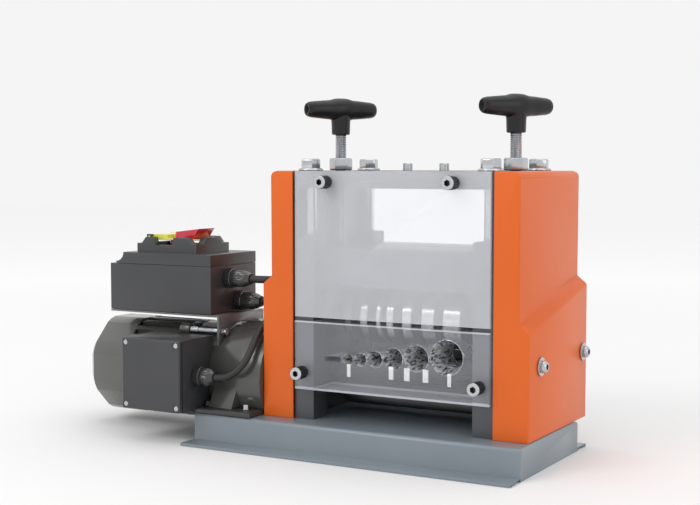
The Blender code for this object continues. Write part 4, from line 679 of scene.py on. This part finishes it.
# Half of the bar from its end to its middle, and the stem, as (length, radius) steps
BAR_STEPS = [(0.0380, 0.0074), (0.0345, 0.0083), (0.0200, 0.0096), (0.0130, 0.0101),
             (0.0075, 0.0116), (0.0030, 0.0120)]
STEM_STEPS = [(0.3171, 0.0085), (0.3180, 0.0095), (0.3290, 0.0098), (0.3370, 0.0106),
              (0.3420, 0.0060)]
RING_SPACES = (0.0007, 0.0009, 0.0009, 0.0009)
RING_STEP = 0.0006
profile = [(-HANDLE_HALF, HANDLE_END)] + [(-along, radius) for along, radius in BAR_STEPS]
profile += [(along, radius) for along, radius in reversed(BAR_STEPS)] + [(HANDLE_HALF, HANDLE_END)]
bar_way = Vector((math.cos(HANDLE_TURN), math.sin(HANDLE_TURN), 0))
grip = turned("handle_bar", profile, (0, 0, HANDLE_AXIS), bar_way)
for end in (-1, 1):
    pick(grip, "polygons", lambda place, way: abs(way.z) < 0.01
         and (place - Vector((0, 0, HANDLE_AXIS))).length > HANDLE_HALF - 0.0002
         and place.x * end > 0.01)
    for space in RING_SPACES:
        bpy.ops.mesh.inset(thickness=space)
        bpy.ops.mesh.inset(thickness=0.0002)
        bpy.ops.transform.translate(value=-end * RING_STEP * bar_way)
stem = turned("handle_stem", STEM_STEPS)
handle_plastic = Finish("black_moulded_plastic", (0.01, 0.01, 0.01), 0.3, Specular_IOR_Level=0.35)
mottle = handle_plastic.noise(40.0, 3)
handle_plastic.set("Base Color",
                   handle_plastic.blend(mottle, (0.006, 0.006, 0.007), (0.014, 0.014, 0.015)))
handle_plastic.set("Roughness", handle_plastic.spread(mottle, 0.24, 0.36))
handle_plastic.bump(handle_plastic.noise(700.0, 2), 0.12, 0.0003)
placed_copies(joined("t_handle", grip, stem), both_sides, handle_plastic, "{}_screw",
              "handle_plastic", "{}_t_handle")


# Upper guard
# A clear sheet of acrylic in front of the blades, held by two screws. Its edges are rounded and
# polished, and it has a faint haze.
def softened(node, width, segments=2, angle=30):
    """Copy of a CAD piece with its triangles merged and its edges rounded."""
    source = nodes[node]
    bpy.context.view_layer.update()
    piece = bpy.data.objects.new(node + "_dressed", source.data.copy())
    bpy.context.scene.collection.objects.link(piece)
    piece.data.transform(Matrix.Translation(-MIDDLE) @ source.matrix_world)
    pick(piece, "vertices", everything)
    bpy.ops.mesh.customdata_custom_splitnormals_clear()
    bpy.ops.mesh.remove_doubles(threshold=0.00001)
    bpy.ops.mesh.dissolve_limited(angle_limit=math.radians(1))
    round_edges(piece, width, segments, angle)
    return piece


guard_acrylic = Finish("clear_acrylic_sheet", (0.92, 0.93, 0.98), 0.08, IOR=1.49, Coat_Weight=0.6,
                       Coat_Roughness=0.03)
guard_acrylic.set("Alpha", guard_acrylic.spread(guard_acrylic.noise(12.0, 3), 0.29, 0.35))
guard_acrylic.set("Roughness", guard_acrylic.spread(guard_acrylic.noise(30.0, 3), 0.05, 0.14))
settle(softened("upper_guard", 0.0006), guard_acrylic, "machine", "clear_plastic", "upper_guard")


# Guide block
# A machined and polished block of clear acrylic that feeds each wire to its blade: six funnels that
# lead into bores, and a slot for flat cable. Thin sleeves in the funnels carry painted glints and
# reflections, the block's upper and lower edges are paler, partly sawn haze and partly painted
# highlight, and five small pockets under the funnels are frosted.
GUIDE_FACE = -0.0798
GUIDE_HAZE_AND_GLINT_LOW = 0.0632
GUIDE_HAZE_AND_GLINT_HIGH = 0.1285
CHANNEL_FLOOR = 0.0915
# Place, bore radius and mouth radius
CHANNELS = ((-0.045, 0.0030, 0.0060), (-0.031, 0.0040, 0.0070), (-0.015, 0.0055, 0.0085),
            (0.005, 0.0075, 0.0110), (0.030, 0.0095, 0.0135), (0.062, 0.0125, 0.0175))
FUNNEL_DEPTH = 0.0140
LINING_START = 0.0006
LINING_END = 0.0390
LINING_GAP = 0.0002
LINING_WALL = 0.0003
# Place, width and upper edge
POCKETS = ((-0.044, 0.0040, 0.0900), (0.003, 0.0050, 0.0910), (0.020, 0.0060, 0.0910),
           (0.040, 0.0060, 0.0910), (0.065, 0.0040, 0.0890))
POCKET_HEIGHT = 0.0125
POCKET_COVER = 0.0003
POCKET_DEPTH = 0.0006
guide_acrylic = Finish("clear_acrylic_block", (0.70, 0.72, 0.78), 0.08, IOR=1.49, Coat_Weight=0.6,
                       Coat_Roughness=0.03)
height = guide_acrylic.axis("Z")
# Upper and lower edge bands are paler and more opaque: sawn haze, and a painted highlight for their
# glints
sawn_haze_and_painted_glint = (height > GUIDE_HAZE_AND_GLINT_HIGH) + (height < GUIDE_HAZE_AND_GLINT_LOW)
guide_acrylic.set("Alpha", guide_acrylic.spread(sawn_haze_and_painted_glint, 0.17, 0.60))
streak = guide_acrylic.noise(300.0, 3, (1, 1, 0.2))
guide_acrylic.set("Roughness", guide_acrylic.spread(streak, 0.05, 0.30))
settle(softened("guide_block", 0.0008, 2, 50), guide_acrylic, "machine", "clear_plastic",
       "guide_block")

funnel_glint_paint = Finish("painted_glint_acrylic", (0.75, 0.77, 0.78), 0.12, 0.6)
# Painted glints: the sleeves' colour swings from near black to near white in streaks, standing in
# for the glints and reflections in the funnels
marks = funnel_glint_paint.noise(420.0, 3, (1, 0.35, 1))
funnel_glint_paint.set("Base Color", funnel_glint_paint.ramp(marks, (
    (0.36, (0.10, 0.10, 0.11)), (0.46, (0.50, 0.51, 0.53)), (0.56, (0.92, 0.93, 0.95)))))
funnel_glint_paint.set("Roughness", funnel_glint_paint.spread(funnel_glint_paint.noise(90.0), 0.06, 0.25))
funnel_glint_paint.bump(funnel_glint_paint.noise(260.0, 2, (1, 0.3, 1)), 0.5, 0.0008)


def tube(name, profile, base, way, wall, sides=40):
    """Thin open sleeve of (height, radius) steps."""
    sleeve = turned(name, profile, base, way, sides)
    axis = Vector(way)
    pick(sleeve, "polygons", lambda place, way: (place - Vector(base)).cross(axis).length < 0.0001)
    bpy.ops.mesh.delete(type="ONLY_FACE")
    apply_modifier(sleeve, "SOLIDIFY", thickness=wall, offset=-1)
    return sleeve


frosted = Finish("frosted_pocket", (0.80, 0.81, 0.83), 0.5)
frosted.set("Base Color",
            frosted.blend(frosted.noise(240.0), (0.66, 0.67, 0.70), (0.92, 0.92, 0.94)))
frosted.set("Roughness", frosted.spread(frosted.noise(120.0), 0.40, 0.65))
pockets = []
for x, width, top in POCKETS:
    pocket = box("pocket", (x - width / 2, GUIDE_FACE + POCKET_COVER, top - POCKET_HEIGHT),
                 (x + width / 2, GUIDE_FACE + POCKET_COVER + POCKET_DEPTH, top))
    round_edges(pocket, 0.0002, 2, 30)
    pockets.append(pocket)
settle(joined("frosted_pockets", *pockets), frosted, "machine", "clear_plastic")
# Thin sleeves in the bores, which carry the painted glints
glint_linings = [tube("funnel_glint_lining",
                [(LINING_START, mouth - LINING_GAP), (FUNNEL_DEPTH, bore - LINING_GAP),
                 (LINING_END, bore - LINING_GAP)],
                (x, GUIDE_FACE, CHANNEL_FLOOR + bore), (0, 1, 0), LINING_WALL)
           for x, bore, mouth in CHANNELS]
settle(joined("funnel_glint_linings", *glint_linings), funnel_glint_paint, "machine", "clear_plastic")


# Guard screws
# Four long black knurled socket head screws hold the clear pieces to the posts. Only their front
# rims are turned bright.
GUARD_SCREWS = {"left_guard": (-0.0688, -0.0796, 0.2690), "right_guard": (0.0688, -0.0796, 0.2690),
                "left_guide": (-0.0962, -0.0801, 0.0785), "right_guide": (0.0962, -0.0801, 0.0785)}
BRIGHT_RIM = -0.0940
GUARD_SCREW_STEPS = [(-0.0123, 0.0026), (-0.0115, 0.0030), (0, 0.0030), (0, 0.0058),
                     (0.0006, 0.0064), (0.0130, 0.0064), (0.0133, 0.0060), (0.0136, 0.0060),
                     (0.0138, 0.0064), (0.0144, 0.0064), (0.0150, 0.0059)]


def cut_by(piece, tool):
    """Cuts the tool's shape out of the piece."""
    apply_modifier(piece, "BOOLEAN", object=tool, operation="DIFFERENCE", solver="EXACT")
    bpy.data.objects.remove(tool)


def knurl(piece, axis, centre, ends, step, rows, row, share, least=0):
    """Draws one row of vertices in so many nearer to the axis, between two ends along it."""
    along = "XYZ".index(axis)
    first, second = [k for k in range(3) if k != along]

    def in_row(place, way):
        across = (place[first] - centre[first], place[second] - centre[second])
        turn = math.degrees(math.atan2(across[1], across[0]))
        return (ends[0] < place[along] < ends[1] and math.hypot(*across) > least
                and round(turn / step) % rows == row)

    pick(piece, "vertices", in_row)
    pull = [share] * 3
    pull[along] = 1
    bpy.ops.transform.resize(value=pull, center_override=centre)


black_steel = Finish("black_oxide_steel", (0.020, 0.020, 0.021), 0.28, 0.8)
rim = black_steel.axis("Y") < BRIGHT_RIM + MIDDLE.y
worn = black_steel.blend(black_steel.noise(110.0), (0.020, 0.020, 0.021), (0.050, 0.050, 0.052))
black_steel.set("Base Color", black_steel.blend(rim, worn, (0.52, 0.53, 0.55)))
black_steel.set("Roughness", black_steel.spread(black_steel.noise(110.0, 4), 0.224, 0.336))
black_steel.bump(black_steel.noise(1320.0, 2), 0.08, 0.0002)
head = turned("screw_head", GUARD_SCREW_STEPS)
knurl(head, "Z", (0, 0, 0), (0.0003, 0.0131), 7.5, 2, 1, 0.93)
cut_by(head, turned("socket", [(0.0110, 0.0033), (0.0160, 0.0033)], sides=6))
fronts = {name: Matrix.Translation(place) @ Matrix.Rotation(math.pi / 2, 4, "X")
          for name, place in GUARD_SCREWS.items()}
placed_copies(head, fronts, black_steel, "machine", "dark_steel", "{}_screw")


# Cover screws
# Button head screws with plain washers, both bright, hold the covers: two low on the right cover's
# outer face and two on the left cover's.
COVER_SCREWS = {"right_cover_screw_first": (COVER_LOWER, -0.050, 0.098),
                "right_cover_screw_second": (COVER_LOWER, 0.066, 0.098),
                "left_cover_screw_first": (-COVER_LOWER, 0.050, 0.098),
                "left_cover_screw_second": (-COVER_UPPER, -0.066, 0.150)}
COVER_SCREW_STEPS = [(-0.0028, 0.0040), (0.0004, 0.0040), (0.0004, 0.0086), (0.0007, 0.0090),
                     (0.0017, 0.0090), (0.0020, 0.0086), (0.0020, 0.0058), (0.0026, 0.0060),
                     (0.0046, 0.0060), (0.0062, 0.0051), (0.0070, 0.0040)]
screw = turned("cover_screw", COVER_SCREW_STEPS)
cut_by(screw, turned("socket", [(0.0038, 0.0030), (0.0100, 0.0030)], sides=6))
seats = {name: Matrix.Translation(place)
         @ Matrix.Rotation(math.copysign(math.pi / 2, place[0]), 4, "Y")
         for name, place in COVER_SCREWS.items()}
placed_copies(screw, seats, bright_steel, "machine", "bright_steel", "{}")


# Carriage
# A milled steel block slides between the posts and carries the blade shaft in its two ears. It has
# the frame's blue-grey tone, a little darker, with the cutter's marks along it.
carriage_steel = metal_finish("milled_steel", (0.085, 0.088, 0.098), (0.125, 0.128, 0.142), 0.36,
                              0.4, 16.0, (0.2, 1, 1))
settle(softened("carriage", 0.0008, 2, 40), carriage_steel, "carriage_unit", "frame_steel",
       "carriage")


# Cutter shaft
# An idle shaft turned with polished lands, with a thin ground blade in each gap between them. The
# lands are the soft vertical bars that show through the guard.
CUTTER_Z = 0.1310
CUTTER_LANDS = ((-0.0766, -0.0699), (-0.0590, -0.0508), (-0.0404, -0.0358), (-0.0289, -0.0210),
                (-0.0110, -0.0007), (0.0105, 0.0245), (0.0342, 0.0531))
LAST_BLADE = 0.0620
CUTTER_HALF = 0.0840
JOURNAL_END = 0.1042
JOURNAL = 0.0120
HUB = 0.0220
LAND = 0.0300
LAND_EDGE = 0.0006
HUB_SHADE_RADIUS = 0.0285
blades = [(left[1] + right[0]) / 2 for left, right in zip(CUTTER_LANDS, CUTTER_LANDS[1:])]
profile = [(-JOURNAL_END, 0.0112), (-0.1034, JOURNAL), (-CUTTER_HALF, JOURNAL), (-CUTTER_HALF, HUB)]
for (left, right), blade in zip(CUTTER_LANDS, blades + [LAST_BLADE]):
    profile += [(left, HUB), (left, LAND - LAND_EDGE), (left + LAND_EDGE, LAND),
                (right - LAND_EDGE, LAND), (right, LAND - LAND_EDGE), (right, HUB),
                (blade - 0.0020, HUB), (blade - 0.0003, 0.0330), (blade, 0.0340),
                (blade + 0.0009, HUB)]
profile += [(CUTTER_HALF, HUB), (CUTTER_HALF, JOURNAL), (0.1034, JOURNAL), (JOURNAL_END, 0.0112)]
cutter_steel = Finish("polished_tool_steel", (0.60, 0.61, 0.63), 0.20, 1.0)
rise = cutter_steel.axis("Z") - CUTTER_Z
run = cutter_steel.axis("Y") - MIDDLE.y
# Painted shade: inside this radius the hubs between the lands are dark, for the shade that falls
# between them; the lands and blades keep the bright steel
clear_of_hub_shade = rise * rise + run * run > HUB_SHADE_RADIUS ** 2
steel = cutter_steel.blend(cutter_steel.noise(60.0, 4), (0.66, 0.67, 0.69), (0.84, 0.85, 0.87))
cutter_steel.set("Base Color", cutter_steel.blend(clear_of_hub_shade, (0.10, 0.10, 0.11), steel))
brushed = cutter_steel.noise(60.0, 4, (1, 0.2, 0.2))
cutter_steel.set("Roughness", cutter_steel.spread(brushed, 0.16, 0.24))
cutter_steel.bump(cutter_steel.noise(720.0, 2, (1, 0.2, 0.2)), 0.08, 0.0002)
cutter = turned("cutter_shaft_dressed", profile, (0, 0, CUTTER_Z), (1, 0, 0), 96)
settle(cutter, cutter_steel, "cutter", "bright_steel", "cutter_shaft", smooth=25)


# Feed roller
# A steel roller under the blades with straight knurling along it, blackened, driven from the left.
ROLLER_Z = 0.0640
ROLLER_STEPS = [(-0.1330, 0.0074), (-0.1322, 0.0080), (-0.1120, 0.0080), (-0.1120, 0.0120),
                (-0.0840, 0.0120), (-0.0840, 0.0262), (-0.0832, 0.0270), (0.0832, 0.0270),
                (0.0840, 0.0262), (0.0840, 0.0120), (0.1122, 0.0120), (0.1130, 0.0112)]
roller = turned("feed_roller_dressed", ROLLER_STEPS, (0, 0, ROLLER_Z), (1, 0, 0), 180)
knurl(roller, "X", (0, 0, ROLLER_Z), (-0.0850, 0.0850), 2, 2, 1, 0.972, 0.0255)
roller_steel = metal_finish("blackened_steel", (0.05, 0.05, 0.052), (0.11, 0.11, 0.113), 0.32,
                            0.9, 70.0)
settle(roller, roller_steel, "roller", "dark_steel", "feed_roller", smooth=20)


# Motor
# A finned aluminium motor, painted gloss black, with an eight-sided pressed cowl over its fan.
# Inside are the laminated stator, the rotor and a moulded fan.
def coat_finish(name, dark, light, roughness, coat=0.4, grain=0.12):
    """Paint or moulded plastic with a light sheen and a fine grain."""
    finish = Finish(name, dark, roughness, Coat_Weight=coat, Coat_Roughness=0.18)
    drift = finish.noise(18.0, 4)
    finish.set("Base Color", finish.blend(drift, dark, light))
    finish.set("Roughness", finish.spread(drift, roughness * 0.8, roughness * 1.2))
    finish.bump(finish.noise(500.0, 2), grain, 0.0003)
    return finish


motor_paint = coat_finish("gloss_black_paint", (0.045, 0.046, 0.043), (0.065, 0.066, 0.061), 0.26,
                          0.6)
settle(softened("motor_body", 0.0004, 2, 40), motor_paint, "machine", "motor_paint", "motor_body")
cowl_paint = coat_finish("olive_grey_paint", (0.075, 0.076, 0.070), (0.10, 0.101, 0.094), 0.24, 0.6)
settle(softened("fan_cowl", 0.0008, 2, 12), cowl_paint, "machine", "motor_paint", "fan_cowl",
       smooth=14)
stator_steel = Finish("stacked_laminations", (0.20, 0.19, 0.18), 0.45, 0.8)
leaf = stator_steel.axis("X").wave(1000)
stator_steel.set("Base Color", stator_steel.blend(leaf, (0.13, 0.125, 0.12), (0.26, 0.25, 0.24)))
stator_steel.set("Roughness", stator_steel.spread(leaf, 0.4, 0.55))
stator_steel.bump(leaf, 0.3, 0.0002)
stator_steel.on("motor_stator", "motor_rotor")
fan_plastic = coat_finish("fan_plastic", (0.10, 0.10, 0.10), (0.13, 0.13, 0.13), 0.5, 0.1)
fan_plastic.on("motor_fan")


# Gear housing
# The cast bell and foot of the gearhead, in the motor's paint, bolted to a black steel plate that
# lies on the base. Its first and second stage wheels and the drive gears are cut steel.
FOOT_BOLT_Y = -0.0880
FOOT_BOLT_Z = 0.0354
FOOT_BOLT_STEPS = [(0, 0.0052), (0.0006, 0.0056), (0.0014, 0.0056), (0.0014, 0.0040),
                   (0.0052, 0.0040), (0.0058, 0.0034)]
settle(softened("gear_housing", 0.0010, 2, 30), motor_paint, "machine", "motor_paint",
       "gear_housing")
black_sheet = coat_finish("black_painted_sheet", (0.022, 0.022, 0.022), (0.036, 0.036, 0.036), 0.34,
                          0.4)
settle(softened("motor_mount_plate", 0.0006), black_sheet, "machine", "black_sheet",
       "motor_mount_plate")
gear_steel = metal_finish("cut_gear_steel", (0.28, 0.28, 0.29), (0.38, 0.38, 0.39), 0.35, 0.9, 50.0)
gear_steel.on("roller_gear", "gearhead_layshaft", "output_shaft")
for name, x, finish, slot in (("right_foot_bolt", -0.1600, bright_steel, "bright_steel"),
                              ("left_foot_bolt", -0.2070, black_steel, "dark_steel")):
    foot_bolt = turned(name, FOOT_BOLT_STEPS, (x, FOOT_BOLT_Y, FOOT_BOLT_Z), sides=6)
    round_edges(foot_bolt, 0.0003, 2, 20)
    settle(foot_bolt, finish, "machine", slot)


# Terminal box
# A moulded box on the motor's front with a flat lid, which four bright screws hold at its corners.
LID_FACE = -0.1300
LID_SCREW_SPOTS = [(x, z) for x in (-0.2822, -0.2178) for z in (0.0378, 0.1022)]
LID_SCREW_STEPS = [(-0.0010, 0.0026), (0.0004, 0.0028), (0.0008, 0.0026), (0.0011, 0.0020)]
LID_SCREW_SINK = 0.0012
LID_RECESS = 0.0032
LID_SLOT = 0.0008
box_plastic = coat_finish("charcoal_plastic", (0.030, 0.031, 0.034), (0.042, 0.043, 0.047), 0.36,
                          0.2, 0.2)
settle(softened("terminal_box", 0.0012, 3, 40), box_plastic, "machine", "box_plastic",
       "terminal_box")
terminal_lid = softened("terminal_lid", 0.0010, 3, 40)
screws = []
for x, z in LID_SCREW_SPOTS:
    seat = (x, LID_FACE + LID_SCREW_SINK, z)
    cut_by(terminal_lid, turned("recess", [(-LID_SCREW_SINK / 2, LID_RECESS),
                                           (2 * LID_SCREW_SINK, LID_RECESS)], seat, (0, -1, 0), 24))
    screw = turned("lid_screw", LID_SCREW_STEPS, seat, (0, -1, 0), 24)
    cut_by(screw, box("slot", (x - LID_RECESS, LID_FACE - 0.0010, z - LID_SLOT / 2),
                      (x + LID_RECESS, LID_FACE + LID_SCREW_SINK / 2, z + LID_SLOT / 2)))
    screws.append(screw)
settle(terminal_lid, box_plastic, "machine", "box_plastic", "terminal_lid")
settle(joined("terminal_lid_screws", *screws), bright_steel, "machine", "bright_steel")


# Bracket
# A thin black sheet under the switch box with its leg bent down over the gear housing. Two turned
# spacers with bolt heads carry the leg from the motor's lugs.
STANDOFFS = {"front_bracket_standoff": -0.062, "rear_bracket_standoff": 0.008}
STANDOFF_Z = 0.1105
STANDOFF_STEPS = [(-0.2460, 0.0040), (-0.2455, 0.0045), (-0.2360, 0.0045), (-0.2360, 0.0036),
                  (-0.2150, 0.0036), (-0.2150, 0.0045), (-0.2083, 0.0045), (-0.2083, 0.0025),
                  (-0.2057, 0.0025), (-0.2057, 0.0045), (-0.2047, 0.0045), (-0.2047, 0.0037),
                  (-0.2013, 0.0037), (-0.2007, 0.0030)]
bracket_sheet = coat_finish("bracket_paint", (0.10, 0.10, 0.10), (0.14, 0.14, 0.14), 0.28, 0.5)
settle(softened("switch_bracket", 0.0004, 2, 40), bracket_sheet, "machine", "black_sheet",
       "switch_bracket")
for name, y in STANDOFFS.items():
    spacer = turned(name + "_dressed", STANDOFF_STEPS, (0, y, STANDOFF_Z), (1, 0, 0))
    knurl(spacer, "X", (0, y, STANDOFF_Z), (-0.2452, -0.2355), 7.5, 2, 1, 0.92)
    settle(spacer, bright_steel, "machine", "bright_steel", name)


# Switch box
# A moulded box whose lid is hollowed at its left end and carries the notched frame round the
# switch. Box and lid are the same charcoal plastic, with a thin gap between them.
settle(softened("switch_box", 0.0022, 4, 40), box_plastic, "machine", "box_plastic", "switch_box")
settle(softened("switch_lid", 0.0008, 3, 40), box_plastic, "machine", "box_plastic", "switch_lid")


# Switch
# A yellow flap on a hinge holds the big red paddle, which presses the stop button under it; the
# start button is reached through the notch. All are glossy moulded plastic.
for colour, dark, light, slot, pieces in (
        ("yellow", (0.72, 0.70, 0.10), (0.82, 0.80, 0.17), "yellow_plastic", ("switch_flap",)),
        ("red", (0.50, 0.010, 0.028), (0.62, 0.018, 0.045), "red_plastic",
         ("stop_paddle", "stop_button")),
        ("green", (0.02, 0.30, 0.06), (0.03, 0.40, 0.09), "green_plastic", ("start_button",))):
    moulding = coat_finish("moulded_" + colour, dark, light, 0.24, 0.5)
    for name in pieces:
        body = {"start_button": "start", "stop_button": "stop"}.get(name, "stop_flap")
        settle(softened(name, 0.0006, 3, 30), moulding, body, slot, name)


# Cable glands
# Moulded glands grip the two cords at the switch box and the lead at the terminal box: a round nut
# against the wall and a ribbed dome that closes on the cord.
# Wall, place across and height, and length
GLANDS = {"cord_gland": (-0.2160, -0.038, 0.1650, 0.0300),
          "lead_gland": (-0.2160, -0.018, 0.1395, 0.0300),
          "terminal_gland": (-0.2130, -0.100, 0.0680, 0.0230)}
GLAND_NUT = 0.0083
gland_plastic = coat_finish("gloss_black_plastic", (0.018, 0.018, 0.019), (0.028, 0.028, 0.030),
                            0.16, 0.7)
for name, (face, y, z, length) in GLANDS.items():
    end = face + length
    nut = face + GLAND_NUT
    gland = turned(name + "_dressed", [(face - 0.0030, 0.0070), (face + 0.0003, 0.0070),
                                       (face + 0.0003, 0.0100), (face + 0.0010, 0.0105),
                                       (nut - 0.0008, 0.0105), (nut, 0.0099), (nut, 0.0090),
                                       (nut + 0.0008, 0.0092), ((nut + end) / 2, 0.0091),
                                       (end - length * 0.18, 0.0079), (end - 0.0020, 0.0064),
                                       (end, 0.0057)], (0, y, z), (1, 0, 0), 60)
    knurl(gland, "X", (0, y, z), (face + 0.0005, nut - 0.0002), 6, 3, 0, 0.955)
    knurl(gland, "X", (0, y, z), (nut + 0.0004, end - length * 0.15), 6, 2, 0, 0.955)
    settle(gland, gland_plastic, "machine", "box_plastic", name, smooth=20)


# Rear guard
# A dark painted sheet across the rear posts, under the wire outlet.
settle(softened("rear_guard", 0.0005), black_sheet, "machine", "black_sheet", "rear_guard")
